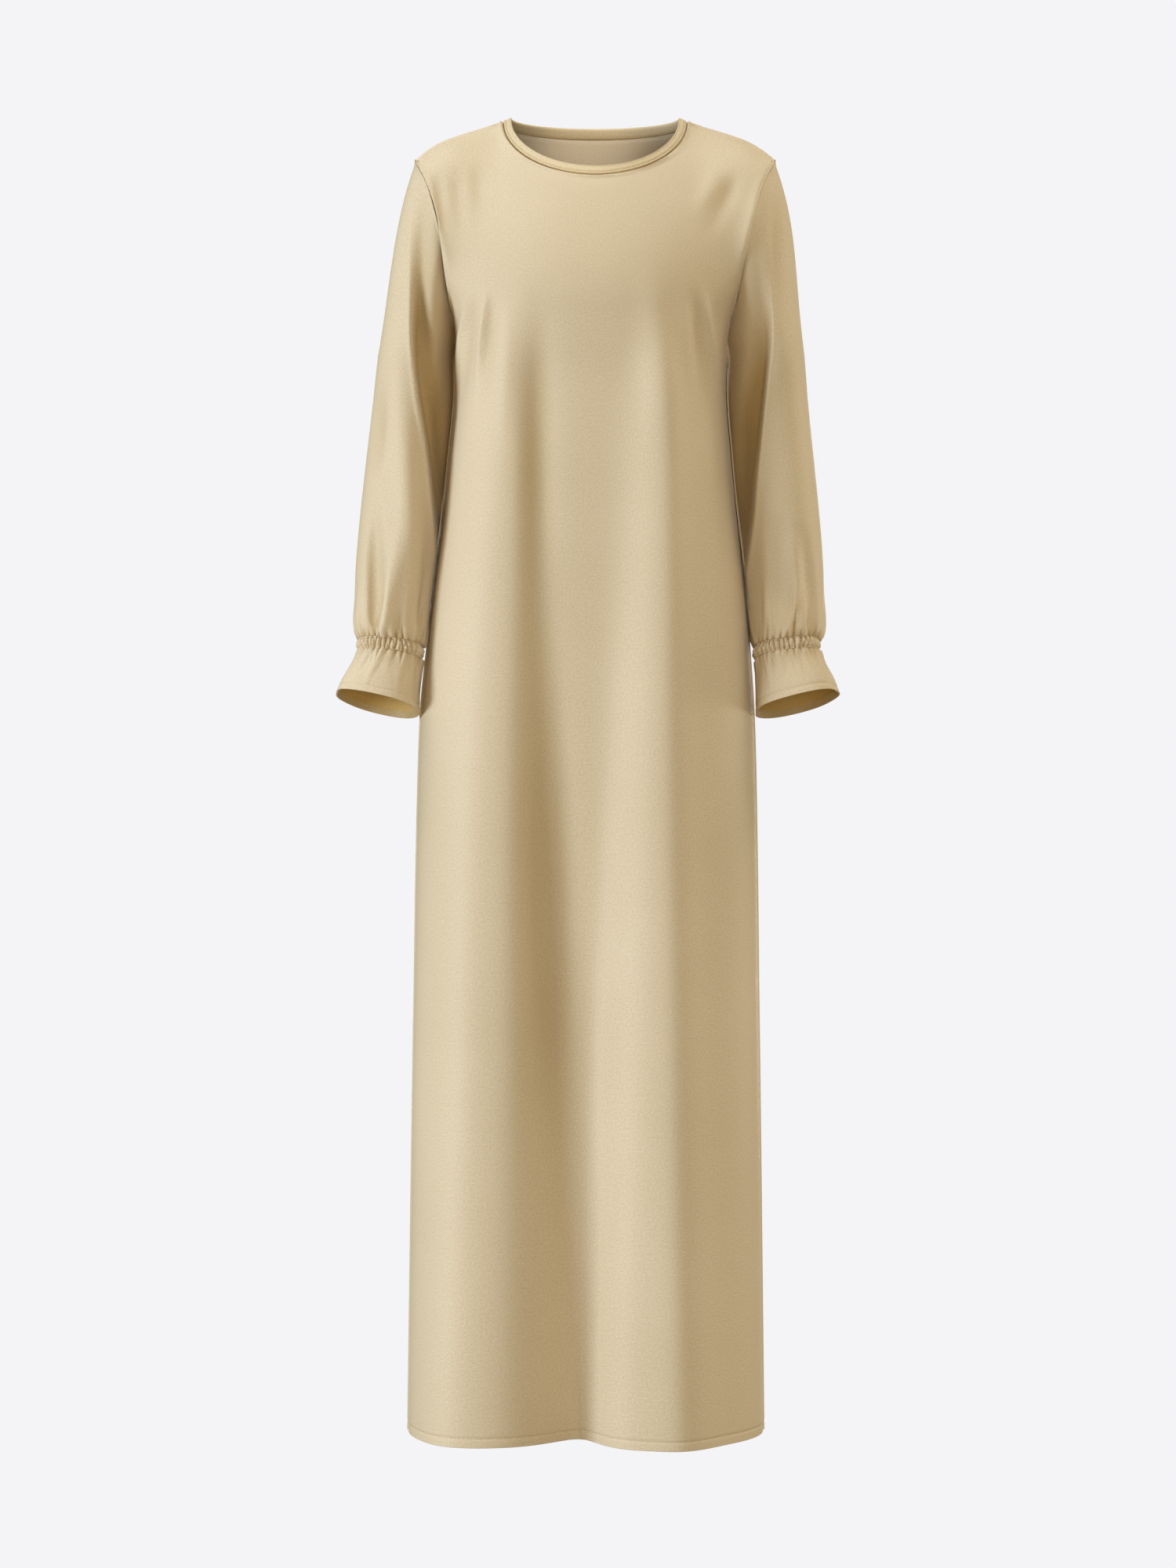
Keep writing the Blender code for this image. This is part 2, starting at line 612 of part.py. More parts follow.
def build_abaya():
    for old in list(bpy.data.objects):
        bpy.data.objects.remove(old)
    collection = bpy.data.collections.new("abaya")
    bpy.context.scene.collection.children.link(collection)
    front_rows, back_rows = panel_rows(FRONT), panel_rows(BACK)
    sheets = [panel_sheet(FRONT, front_rows), panel_sheet(BACK, back_rows)]
    sheets.append(binding_sheet(front_rows, back_rows))
    for side in ("left", "right"):
        sheets += sleeve_sheets(side, front_rows, back_rows)
    normals = shared_normals(sheets)
    for sheet in sheets:
        build_piece(sheet, normals, collection)


build_abaya()
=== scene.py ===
# %% [markdown]
# # A plain abaya in satin crepe
# An abaya is a full-length robe. This one is worn and hollow: a front and a back meet at the
# shoulders and the sides, long sleeves are set into the armholes, and an elastic casing gathers
# each sleeve at the wrist into a frilled cuff. The construction model gives the sizes, and this
# lesson makes the cloth that is seen: thin folded sheets, seams, gathers and rows of stitches.

# %% Load the construction model
import math
from collections import namedtuple

import bpy
import numpy as np
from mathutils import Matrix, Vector


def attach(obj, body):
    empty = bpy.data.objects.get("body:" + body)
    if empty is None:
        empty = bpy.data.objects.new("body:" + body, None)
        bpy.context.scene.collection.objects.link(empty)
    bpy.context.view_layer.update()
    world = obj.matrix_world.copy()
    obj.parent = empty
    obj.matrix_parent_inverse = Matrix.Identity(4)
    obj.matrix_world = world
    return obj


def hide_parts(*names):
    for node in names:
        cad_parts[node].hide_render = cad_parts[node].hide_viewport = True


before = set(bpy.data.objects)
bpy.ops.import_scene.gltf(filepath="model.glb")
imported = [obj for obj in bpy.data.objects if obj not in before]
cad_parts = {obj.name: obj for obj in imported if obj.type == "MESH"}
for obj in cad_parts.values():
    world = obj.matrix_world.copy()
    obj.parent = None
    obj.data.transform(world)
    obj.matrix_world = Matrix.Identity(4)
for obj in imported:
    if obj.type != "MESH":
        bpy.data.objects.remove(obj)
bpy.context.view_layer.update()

# %% [markdown]
# ## The camera
# The picture is taken from straight ahead and from some way off, so the two sides of the robe
# stay nearly parallel. One size in the picture is known, the length from the neck to the hem, and
# it gives how many metres a pixel covers. The lens follows from that and from the distance.
# Colours are shown with the plain transform, so that white paper stays white and pale cloth keeps
# its full colour.

# %% The camera
PICTURE_HEIGHT = 2000
PICTURE_WIDTH = 1500
METRES_PER_PIXEL = 0.000824
ORIGIN_COLUMN = 752
ORIGIN_ROW = 151
CAMERA_DISTANCE = 4.0
SENSOR = 36.0

middle_x = (PICTURE_WIDTH / 2 - ORIGIN_COLUMN) * METRES_PER_PIXEL
middle_z = (ORIGIN_ROW - PICTURE_HEIGHT / 2) * METRES_PER_PIXEL
bpy.ops.object.camera_add(
    location=(middle_x, -CAMERA_DISTANCE, middle_z), rotation=(math.pi / 2, 0, 0)
)
camera = bpy.context.object
camera.data.sensor_width = SENSOR
camera.data.lens = SENSOR * CAMERA_DISTANCE / (METRES_PER_PIXEL * PICTURE_HEIGHT)
bpy.context.scene.camera = camera
bpy.context.scene.view_settings.view_transform = "Standard"
print("lens:", round(camera.data.lens, 1), "mm")

# %% [markdown]
# ## The studio
# A plain pale floor lies well below the hem, because the robe hangs from its wearer's shoulders.
# The air round the robe has the floor's colour wherever the camera looks, so no line shows behind
# the robe from any side, and nothing stands in the way of a view from behind.

# %% The floor
FLOOR_Z = -1.5
FLOOR_SIZE = 30.0
PAPER_COLOUR = (0.905, 0.905, 0.923, 1)
PAPER_SHADING = {
    "Base Color": (0, 0, 0, 1),
    "Roughness": 1.0,
    "Specular IOR Level": 0.0,
    "Emission Color": PAPER_COLOUR,
    "Emission Strength": 1.0,
}


def set_inputs(node, values):
    for name, value in values.items():
        node.inputs[name].default_value = value


bpy.ops.mesh.primitive_plane_add(size=FLOOR_SIZE, location=(0, 0, FLOOR_Z))
paper_floor = bpy.context.object
paper_floor.name = "paper_floor"
paper = bpy.data.materials.new("pale_paper")
paper.use_nodes = True
set_inputs(paper.node_tree.nodes["Principled BSDF"], PAPER_SHADING)
paper_floor.data.materials.append(paper)
paper_floor.visible_diffuse = False
paper_floor.visible_glossy = False

# %% [markdown]
# ## The light
# A large soft lamp to the left and above lights the flank of each fold that faces it. The other
# flank gets only warm light from all round, which is what gives gold cloth its deep shadows. Two
# lamps behind do the same for the back, and a narrow one shines through the neck onto the inside.

# %% Lamps
LAMP_AIM = (0.0, 0.0, -0.6)
LAMPS = (
    # name, place, width, power, colour
    ("key_left", (-3.74, -1.9, -0.6), 1.6, 137.0, (0.74, 0.86, 1.0)),
    ("top_left", (-1.75, -0.31, 3.2), 1.6, 58.0, (0.8, 0.88, 1.0)),
    ("top_right", (1.75, -0.31, 3.2), 1.6, 64.0, (1.0, 1.0, 0.96)),
    ("front_soft", (0.6, -4.16, -0.6), 1.6, 52.0, (0.96, 0.96, 1.0)),
    ("back_left", (-0.3, 4.2, 0.2), 0.9, 44.0, (1.0, 0.97, 0.9)),
    ("back_soft", (0.8, 4.16, -0.6), 1.6, 30.0, (1.0, 0.97, 0.92)),
    ("rim_right", (3.95, 1.44, -0.6), 1.6, 36.0, (1.0, 0.96, 0.87)),
)
SPOT_PLACE = (0.0, -2.5, 0.25)
SPOT_AIM = (0.0, 0.05, -0.02)
SPOT_POWER = 112.0
SPOT_COLOUR = (1.0, 0.97, 0.93)
SPOT_ANGLE = 3.4
SPOT_RADIUS = 0.02
AIR_COLOUR = (1.0, 0.785, 0.33, 1)
AIR_STRENGTH = 0.27


def add_lamp(kind, name, place, aim, power, colour):
    """A lamp at a place, turned towards its aim."""
    bpy.ops.object.light_add(type=kind, location=place)
    light = bpy.context.object
    light.name = name
    light.rotation_euler = (Vector(aim) - light.location).to_track_quat("-Z", "Y").to_euler()
    light.data.energy = power
    light.data.color = colour
    return light.data


for name, place, width, power, colour in LAMPS:
    lamp = add_lamp("AREA", name, place, LAMP_AIM, power, colour)
    lamp.shape = "SQUARE"
    lamp.size = width
neck_spot = add_lamp("SPOT", "neck_spot", SPOT_PLACE, SPOT_AIM, SPOT_POWER, SPOT_COLOUR)
neck_spot.spot_size = math.radians(SPOT_ANGLE)
neck_spot.spot_blend = 1.0
neck_spot.shadow_soft_size = SPOT_RADIUS

# %% [markdown]
# ## The air
# Light from all round comes from the world's background. It is warm for the cloth, and has the
# floor's colour for the camera. Nodes are made and joined with two short functions.

# %% The air
def add_node(tree, kind, values=None, **settings):
    """A node of a tree, with values for its inputs and with its own settings."""
    node = tree.nodes.new(f"ShaderNode{kind}")
    for name, value in settings.items():
        setattr(node, name, value)
    set_inputs(node, values or {})
    return node


def join_nodes(tree, *joins):
    """Links, each from an output of one node to an input of another."""
    for node, output, target, entry in joins:
        tree.links.new(node.outputs[output], target.inputs[entry])


world = bpy.data.worlds.new("studio_air")
bpy.context.scene.world = world
world.use_nodes = True
sky = world.node_tree
warm_air = sky.nodes["Background"]
set_inputs(warm_air, {"Color": AIR_COLOUR, "Strength": AIR_STRENGTH})
paper_air = add_node(sky, "Background", {"Color": PAPER_COLOUR})
ray = add_node(sky, "LightPath")
air = add_node(sky, "MixShader")
join_nodes(
    sky,
    (ray, "Is Camera Ray", air, "Fac"),
    (warm_air, "Background", air, 1),
    (paper_air, "Background", air, 2),
    (air, "Shader", sky.nodes["World Output"], "Surface"),
)

# %% [markdown]
# ## The cloth's finish and its painted shade
# Satin crepe has a soft sheen over a fine pebbled grain. The grain is a noise that follows the
# cloth's own UV map, which is laid out in metres, so that it keeps its size on every piece. A
# second, larger noise makes the colour a little uneven, as in a dyed cloth. Light reaches the
# bottom of a fold only by way of other cloth, which deepens its gold there. This shade is painted
# into the colour as a deeper gold, and an attribute of each piece says where. The cloth's reverse,
# which the frills show inside, is dull, and its deeper gold is partly painted shade for the
# frills' shaded inside. Their cut edge is pale: a painted highlight.

# %% Satin crepe
CLOTH_COLOUR = (0.694, 0.568, 0.39)
CLOTH_GLOSS = {
    "Specular IOR Level": 0.22,
    "Sheen Roughness": 0.45,
    "Sheen Tint": (1.0, 0.93, 0.8, 1),
}
PEBBLE = {"Scale": 480, "Detail": 3.0, "Roughness": 0.65}
MOTTLE = {"Scale": 5, "Detail": 4.0}
PEBBLE_SHARE = 0.75
DYE_RAMP = ((0.36, (0.91, 0.9, 0.86)), (0.64, (1.09, 1.1, 1.14)))
GRAIN_BUMP = 0.0008
GRAIN_STRENGTH = 0.5
# painted shade: shaded cloth has its colour multiplied by this deeper gold
PAINTED_SHADE_TINT = (0.66, 0.56, 0.36, 1)


def satin_crepe(name, colour, grain=1.0, rough=0.5, sheen=0.3):
    """The cloth's material: grain on the cloth's own UV map, in metres."""
    material = bpy.data.materials.new(name)
    material.use_nodes = True
    tree = material.node_tree
    shader = tree.nodes["Principled BSDF"]
    set_inputs(shader, {"Roughness": rough, "Sheen Weight": sheen, **CLOTH_GLOSS})
    layout = add_node(tree, "UVMap", uv_map="UVMap")
    pebble = add_node(tree, "TexNoise", PEBBLE)
    mottle = add_node(tree, "TexNoise", MOTTLE)
    place = add_node(tree, "TexCoord")
    both = add_node(tree, "Math", {1: PEBBLE_SHARE}, operation="MULTIPLY_ADD")
    spread = add_node(tree, "Math", {1: 1 - PEBBLE_SHARE}, operation="MULTIPLY")
    dye = add_node(tree, "ValToRGB")
    for stop, (position, shade) in zip(dye.color_ramp.elements, DYE_RAMP):
        stop.position = position
        stop.color = (*(part * factor for part, factor in zip(colour, shade)), 1)
    # painted shade: the attribute darkens the dyed colour towards a deeper gold in folds, seams,
    # gathers and hems
    hollow = add_node(tree, "Attribute", attribute_name="hollow")
    painted_shade_mix = add_node(tree, "Mix", {7: PAINTED_SHADE_TINT}, data_type="RGBA", blend_type="MULTIPLY")
    bump = add_node(tree, "Bump", {"Strength": GRAIN_STRENGTH * grain, "Distance": GRAIN_BUMP})
    join_nodes(
        tree,
        (layout, "UV", pebble, "Vector"),
        (place, "Object", mottle, "Vector"),
        (pebble, "Fac", both, 0),
        (mottle, "Fac", spread, 0),
        (spread, "Value", both, 2),
        (both, "Value", dye, "Fac"),
        (hollow, "Fac", painted_shade_mix, 0),
        (dye, "Color", painted_shade_mix, 6),
        (painted_shade_mix, 2, shader, "Base Color"),
        (pebble, "Fac", bump, "Height"),
        (bump, "Normal", shader, "Normal"),
    )
    return material


crepe = satin_crepe("satin_crepe", CLOTH_COLOUR)
# the reverse is really dull; its dark gold is partly painted shade for the frills' shaded inside
crepe_reverse_and_painted_shade = satin_crepe("crepe_reverse_and_painted_shade", (0.56, 0.36, 0.115), rough=0.75, sheen=0.08)
# painted highlight: a pale colour on the cut edge of the frills' hems, where light catches it
crepe_painted_edge_highlight = satin_crepe("crepe_painted_edge_highlight", (0.9, 0.8, 0.6))
binding_crepe = satin_crepe("binding_crepe", (0.665, 0.535, 0.34), grain=0.8)
thread = satin_crepe("sewing_thread", (0.48, 0.37, 0.21), grain=0.3)

# %% [markdown]
# ## A sheet of cloth from a grid
# Each piece of cloth starts as a flat grid. Its points are then carried to their places on the
# robe, row by row, and its UV map is stretched to the cloth's real size. A sleeve's grid is
# rolled into a tube, and its two edges are merged. Solidify gives the sheet its thickness, on the
# inner side, so that the outer side stays where it was placed.

# %% Sheet helpers
CLOTH_THICKNESS = 0.0008
MERGE_DISTANCE = 0.00001
SHARP_ANGLE = 55
# painted shade on the rows of a hem that are folded inside
HEM_PAINTED_SHADE = 1.0


def lay_grid(name, points, hollow, closed):
    """A grid with its points carried to their places: row 0 is the top, column 0 the left."""
    row_count, columns = points.shape[:2]
    across, down = columns - 1, row_count - 1
    bpy.ops.mesh.primitive_grid_add(x_subdivisions=across, y_subdivisions=down, size=1)
    piece = bpy.context.object
    piece.name = name
    piece.data.vertices.foreach_set("co", points[::-1].ravel())
    # painted shade per point, full on the hem rows folded inside
    shade = piece.data.attributes.new("hollow", "FLOAT", "POINT")
    hollow = np.pad(hollow, ((0, row_count - len(hollow)), (0, 0)), constant_values=HEM_PAINTED_SHADE)
    shade.data.foreach_set("value", np.clip(hollow, 0, 1)[::-1].ravel())
    layout = piece.data.uv_layers[0]
    layout.name = "UVMap"
    uv = np.empty(len(layout.data) * 2)
    layout.data.foreach_get("uv", uv)
    uv = uv.reshape(-1, 2)
    for axis, steps in enumerate((across, down)):
        lengths = np.linalg.norm(np.diff(points, axis=1 - axis), axis=2).mean(axis=axis)
        lengths = lengths if axis == 0 else lengths[::-1]
        places = np.concatenate([[0.0], np.cumsum(lengths)])
        uv[:, axis] = np.interp(uv[:, axis] * steps, np.arange(steps + 1), places)
    layout.data.foreach_set("uv", uv.ravel())
    if closed:
        bpy.ops.object.mode_set(mode="EDIT")
        bpy.ops.mesh.select_all(action="SELECT")
        bpy.ops.mesh.remove_doubles(threshold=MERGE_DISTANCE)
        bpy.ops.object.mode_set(mode="OBJECT")
    piece.data.update()
    return piece


def thicken(piece, finishes, thickness):
    """The sheet gets its thickness on the inner side. Its first finish is for the outer side. Where
    there are three, the second is for the inner side and the third for the cut edge."""
    for material in finishes:
        piece.data.materials.append(material)
    wall = piece.modifiers.new("thickness", "SOLIDIFY")
    wall.material_offset = 1 if len(finishes) > 1 else 0
    wall.material_offset_rim = 2 if len(finishes) > 1 else 0
    wall.thickness = thickness
    wall.offset = -1
    bpy.ops.object.modifier_apply(modifier=wall.name)
    bpy.ops.object.shade_smooth_by_angle(angle=math.radians(SHARP_ANGLE))


def finish_piece(piece, slot, *nodes):
    """A piece rides with the robe and may stand for construction nodes."""
    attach(piece, "root")
    if nodes:
        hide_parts(*nodes)
    faces = piece.data.polygons
    print(piece.name, len(faces), "faces, area", round(sum(face.area for face in faces) / 2, 4))


def make_cloth(
    node,
    points,
    hollow,
    finishes=(crepe,),
    thickness=CLOTH_THICKNESS,
    slot="satin_crepe",
    closed=True,
):
    """The cloth that is seen in place of one construction node."""
    cloth = lay_grid(f"{node}_cloth", points, hollow, closed)
    thicken(cloth, finishes, thickness)
    finish_piece(cloth, slot, node)
    return cloth


# %% [markdown]
# ## Stitches
# A row of stitches is a curve for each stitch, which dips into the cloth at both ends. The row
# follows a line of points on the cloth, and its stitches are spaced by the length along that
# line.

# %% Stitches
STITCH_LENGTH = 0.0021
STITCH_PITCH = 0.0029
STITCH_RADIUS = 0.00022
STITCH_CURVE = (-0.0003, 0.00022, -0.0003)


def stitch_row(name, line, normals):
    """One row of stitches along a line of points, with the cloth's outward directions there."""
    steps = np.linalg.norm(np.diff(line, axis=0), axis=1)
    reached = np.concatenate([[0], np.cumsum(steps)])
    starts = np.arange(STITCH_PITCH, reached[-1] - STITCH_PITCH, STITCH_PITCH)
    data = bpy.data.curves.new(name, "CURVE")
    data.dimensions = "3D"
    data.bevel_depth = STITCH_RADIUS
    data.bevel_resolution = 0
    for start in starts:
        spline = data.splines.new("POLY")
        spline.points.add(2)
        for point, share, rise in zip(spline.points, (0, 0.5, 1), STITCH_CURVE):
            at = start + share * STITCH_LENGTH
            place = [np.interp(at, reached, line[:, axis]) for axis in range(3)]
            out = [np.interp(at, reached, normals[:, axis]) for axis in range(3)]
            point.co = (*(np.array(place) + np.array(out) * rise), 1)
    row = bpy.data.objects.new(name, data)
    bpy.context.collection.objects.link(row)
    bpy.ops.object.select_all(action="DESELECT")
    row.select_set(True)
    bpy.context.view_layer.objects.active = row
    bpy.ops.object.convert(target="MESH")
    row.data.materials.append(thread)
    finish_piece(row, "satin_crepe")
    return row


# %% [markdown]
# ## Reading sizes from short tables
# A robe's shape is easiest to give as a few rows of sizes at named heights. A smooth curve
# through the rows gives every height between them.

# %% Tables
def rows(fields, *values):
    """A table: rows of values with named fields."""
    row = namedtuple("Row", fields)
    return [row(*line) for line in values]


def mix(a, b, share):
    return a + (b - a) * share


def smooth(share):
    share = np.clip(share, 0.0, 1.0)
    return share * share * (3 - 2 * share)


def bell(away, width):
    return np.exp(-((away / width) ** 2))


def read_table(table, column, z):
    """One column of a table at heights z, on a smooth curve through its rows."""
    heights = np.array([row.z for row in table])
    values = np.array([getattr(row, column) for row in table])
    slopes = np.empty(len(table))
    slopes[1:-1] = (values[2:] - values[:-2]) / (heights[2:] - heights[:-2])
    slopes[0] = (values[1] - values[0]) / (heights[1] - heights[0])
    slopes[-1] = (values[-1] - values[-2]) / (heights[-1] - heights[-2])
    z = np.clip(z, heights[-1], heights[0])
    i = np.clip(np.searchsorted(-heights, -z, side="right") - 1, 0, len(table) - 2)
    fall = heights[i + 1] - heights[i]
    t = (z - heights[i]) / fall
    return (
        values[i] * (1 + 2 * t) * (1 - t) ** 2
        + slopes[i] * fall * t * (1 - t) ** 2
        + values[i + 1] * t * t * (3 - 2 * t)
        - slopes[i + 1] * fall * t * t * (1 - t)
    )


SWAY = rows(
    "z x",
    (0, 0.0058),
    (-0.1, 0.0056),
    (-0.2, 0.003),
    (-0.3, 0.001),
    (-0.5, -0.0003),
    (-0.63, -0.0025),
    (-1.377, -0.004),
)


def placed(x, y, z):
    """Points of the robe, with its slight lean."""
    x, y, z = np.broadcast_arrays(x, y, z)
    return np.stack([x + read_table(SWAY, "x", z), y, z], axis=-1)


# %% [markdown]
# ## The shape of the body
# Below the armpits each section is a rounded box. Above them the cloth slopes back to the
# shoulder seam, and its edges follow the neckline, the shoulder seam and the armhole.

# %% Sizes of the body
LENGTH = 1.377
SHOULDER_TIP_Z = -0.045
ARMPIT_Z = -0.212
SHOULDER_HALF = 0.188
SHOULDER_SLOPE = 0.345
TIP_ROUND_FROM = 0.15
SECTION_ROUND = 2.35
EDGE_POWER = 8
SLOPE_POWER = 1.8
NECKLINE_PULL = 3
SHOULDER_STRIPS = 6
ARMHOLE_STRIPS = 14

NECK_SEAM, NECK_EDGE = rows(
    "half side_z front front_z back back_z",
    (0.096, -0.0035, 0.067, -0.069, 0.058, -0.011),
    (0.088, 0, 0.0635, -0.06, 0.054, -0.002),
)
BODY = rows(
    "z half front back",
    (-0.212, 0.145, 0.1155, 0.0975),
    (-0.245, 0.1418, 0.118, 0.0965),
    (-0.29, 0.1403, 0.12, 0.096),
    (-0.36, 0.1465, 0.121, 0.098),
    (-0.42, 0.1525, 0.12, 0.1),
    (-0.503, 0.1627, 0.119, 0.104),
    (-0.563, 0.1693, 0.119, 0.107),
    (-0.63, 0.1745, 0.12, 0.11),
    (-0.767, 0.178, 0.121, 0.114),
    (-0.914, 0.18, 0.124, 0.117),
    (-1.062, 0.1821, 0.127, 0.12),
    (-1.377, 0.186, 0.13, 0.126),
)

ARMHOLE = rows(
    "z front_x front_y back_x back_y",
    (-0.045, 0.188, 0, 0.188, 0),
    (-0.048, 0.1866, 0.011, 0.1872, 0.008),
    (-0.055, 0.183, 0.022, 0.1852, 0.016),
    (-0.065, 0.178, 0.032, 0.182, 0.023),
    (-0.08, 0.1722, 0.042, 0.178, 0.03),
    (-0.11, 0.164, 0.055, 0.172, 0.04),
    (-0.15, 0.156, 0.058, 0.165, 0.046),
    (-0.19, 0.1495, 0.04, 0.1565, 0.034),
    (-0.205, 0.1468, 0.022, 0.15, 0.02),
    (-0.212, 0.145, 0, 0.145, 0),
)

FRONT, BACK = rows("name toward neck_over", ("front", -1, 0.0), ("back", 1, 0.8))


def boxed(value, power):
    """A cosine or sine swelled out, so that a circle drawn with it becomes a rounded box."""
    return np.sign(value) * np.abs(value) ** (2 / power)


def roundness(across):
    """How deep a rounded box is, as a share, at places across it from -1 to 1."""
    return np.maximum(1 - np.abs(across) ** SECTION_ROUND, 0.0) ** (1 / SECTION_ROUND)


def neck_place(line, turn, panel):
    """Points of a neckline: turn runs from 0 at the wearer's left neck point to pi at the right."""
    reach, middle_z = getattr(line, panel.name), getattr(line, f"{panel.name}_z")
    bow = np.sin(turn)
    return line.half * np.cos(turn), panel.toward * reach * bow, mix(line.side_z, middle_z, bow)


def shoulder_z(x):
    """The shoulder line, which goes on as a soft curve over the neck."""
    past_tip_round = np.maximum(np.abs(x) - TIP_ROUND_FROM, 0.0) / (SHOULDER_HALF - TIP_ROUND_FROM)
    tip_before_rounding = NECK_SEAM.side_z - SHOULDER_SLOPE * (SHOULDER_HALF - NECK_SEAM.half)
    in_neck = (x * x / NECK_SEAM.half - NECK_SEAM.half) / 2
    past_neck = np.abs(x) - NECK_SEAM.half
    slope = SHOULDER_SLOPE * np.where(past_neck < 0, in_neck, past_neck)
    return NECK_SEAM.side_z - slope - (tip_before_rounding - SHOULDER_TIP_Z) * past_tip_round**2


def yoke_depth(panel, x, z):
    """How far the cloth lies before or behind the shoulder line, above the armpits."""
    edge_x = read_table(ARMHOLE, f"{panel.name}_x", z)
    edge_y = read_table(ARMHOLE, f"{panel.name}_y", z)
    depth = getattr(BODY[0], panel.name)
    top_z = shoulder_z(x)
    share = np.clip((top_z - z) / (top_z - ARMPIT_Z), 0.0, 1.0)
    past_neck = (np.abs(x) - NECK_SEAM.half) / (SHOULDER_HALF - NECK_SEAM.half)
    over = np.sqrt(1 - (1 - share) ** 2)
    slope = 1 - (1 - share) ** SLOPE_POWER
    curve = mix(slope, over, mix(panel.neck_over, 1.0, smooth(past_neck)))
    across = np.minimum(np.abs(x) / edge_x, 1.0)
    inset = roundness(across)
    return depth * curve * inset + edge_y * (1 - inset) * across**EDGE_POWER


def edge_place(panel, strip):
    """A panel's edge seen from ahead: out along the shoulder seam, then down the armhole."""
    on_shoulder = np.clip(strip / SHOULDER_STRIPS, 0, 1)
    shoulder_x = mix(NECK_SEAM.half, SHOULDER_HALF, on_shoulder)
    share = np.clip((strip - SHOULDER_STRIPS) / ARMHOLE_STRIPS, 0, 1)
    quick = 1 - np.cos(math.pi / 2 * share)
    even = (1 - np.cos(math.pi * share)) / 2
    armhole_z = mix(SHOULDER_TIP_Z, ARMPIT_Z, (quick + even) / 2)
    armhole_x = read_table(ARMHOLE, f"{panel.name}_x", armhole_z)
    below_tip = strip > SHOULDER_STRIPS
    x = np.where(below_tip, armhole_x, shoulder_x)
    return x, np.where(below_tip, armhole_z, shoulder_z(shoulder_x))


def across_share(run):
    """Place across a section, from 1 at the wearer's left side seam to -1 at the right."""
    return boxed(np.cos(math.pi * run), SECTION_ROUND)


def yoke_points(panel, strips, runs):
    """A panel above the armpits: its rows blend from the neckline to the first section."""
    strip, run = strips[:, None], runs[None, :]
    share = strip / (SHOULDER_STRIPS + ARMHOLE_STRIPS)
    edge_x, edge_z = edge_place(panel, strip)
    bow_x = edge_x - mix(NECK_SEAM.half, BODY[0].half, share)
    bow_z = edge_z - mix(NECK_SEAM.side_z, ARMPIT_Z, share)
    top_x, top_y, top_z = neck_place(NECK_SEAM, math.pi * run, panel)
    left, right = (1 - run) ** 2, run**2
    x = mix(top_x, across_share(run) * BODY[0].half, share) + (left - right) * bow_x
    z = mix(top_z, ARMPIT_Z, share) + (left + right) * bow_z
    to_neckline = np.abs(top_y) - yoke_depth(panel, top_x, top_z)
    fall = (top_z - z) / (top_z - ARMPIT_Z)
    depth = yoke_depth(panel, x, z) + to_neckline * (1 - fall) ** NECKLINE_PULL
    return placed(x, panel.toward * depth, z)


# %% [markdown]
# ## The large folds
# The skirt hangs in a few broad folds that grow towards the hem: one deep trough left of the
# middle, a high ridge to its right, and a flatter fold on each side. Each is a row in a table,
# with how far it stands out at its top and at the hem, and how far it reaches to either side.

# %% Body folds
FOLD_FIELDS = (
    "x_top x_hem start height_top height_hem left_top left_hem right_top right_hem edge_top"
)
FOLDS = {}
FOLDS["front"] = rows(
    FOLD_FIELDS,
    (-0.006, -0.008, -0.19, -0.0125, -0.066, 0.066, 0.053, 0.068, 0.031, 4.6),
    (-0.105, -0.14, -0.23, 0.003, 0.015, 0.026, 0.04, 0.022, 0.042, 2),
    (0.076, 0.092, -0.21, 0.007, 0.021, 0.02, 0.034, 0.018, 0.042, 2),
)
FOLDS["back"] = rows(
    FOLD_FIELDS,
    (-0.05, -0.058, -0.24, -0.004, -0.034, 0.03, 0.036, 0.034, 0.034, 2.5),
    (0.046, 0.064, -0.26, -0.003, -0.03, 0.03, 0.03, 0.028, 0.04, 2.5),
    (0, 0.004, -0.3, 0.002, 0.01, 0.024, 0.026, 0.024, 0.028, 2),
    (-0.118, -0.128, -0.3, 0.002, 0.014, 0.02, 0.026, 0.02, 0.028, 2),
)
FOLD_FADE = 0.1
FOLD_GROWTH = 1.5


def fold_height(panel, x, z):
    """How far the folds stand out: below zero in a trough."""
    height = np.zeros(np.broadcast(x, z).shape)
    for fold in FOLDS[panel.name]:
        fall = np.clip((fold.start - z) / (fold.start + LENGTH), 0.0, 1.0)
        away = x - mix(fold.x_top, fold.x_hem, fall)
        left = mix(fold.left_top, fold.left_hem, fall)
        right = mix(fold.right_top, fold.right_hem, fall)
        reach = np.where(away < 0, left, right)
        edge = mix(fold.edge_top, 2.0, fall)
        fade_in = smooth((fold.start - z) / FOLD_FADE)
        full = mix(fold.height_top, fold.height_hem, fall**FOLD_GROWTH)
        height += fade_in * full * np.exp(-((np.abs(away) / reach) ** edge))
    return height


def skirt_points(panel, heights, runs):
    """A panel below the armpits, pushed out and in by its folds."""
    z = heights[:, None]
    across = across_share(runs)[None, :]
    half = read_table(BODY, "half", z)
    depth = read_table(BODY, panel.name, z)
    x = across * half
    y = panel.toward * depth * roundness(across)
    outward_x, outward_y = x / half**2, y / depth**2
    size = np.hypot(outward_x, outward_y)
    height = fold_height(panel, x, z) * (1 - np.abs(across) ** EDGE_POWER)
    return placed(x + outward_x / size * height, y + outward_y / size * height, z)


# %% [markdown]
# ## Softening and creasing a grid
# Where two formulas meet, the grid has a faint bend. Moving each point a little towards the mean
# of its neighbours takes it out, as an iron would. Creases are then pressed in along listed
# curves: each is a soft ridge or trough that fades at both ends.

# %% Grid tools
SOFTEN_TIMES = 60


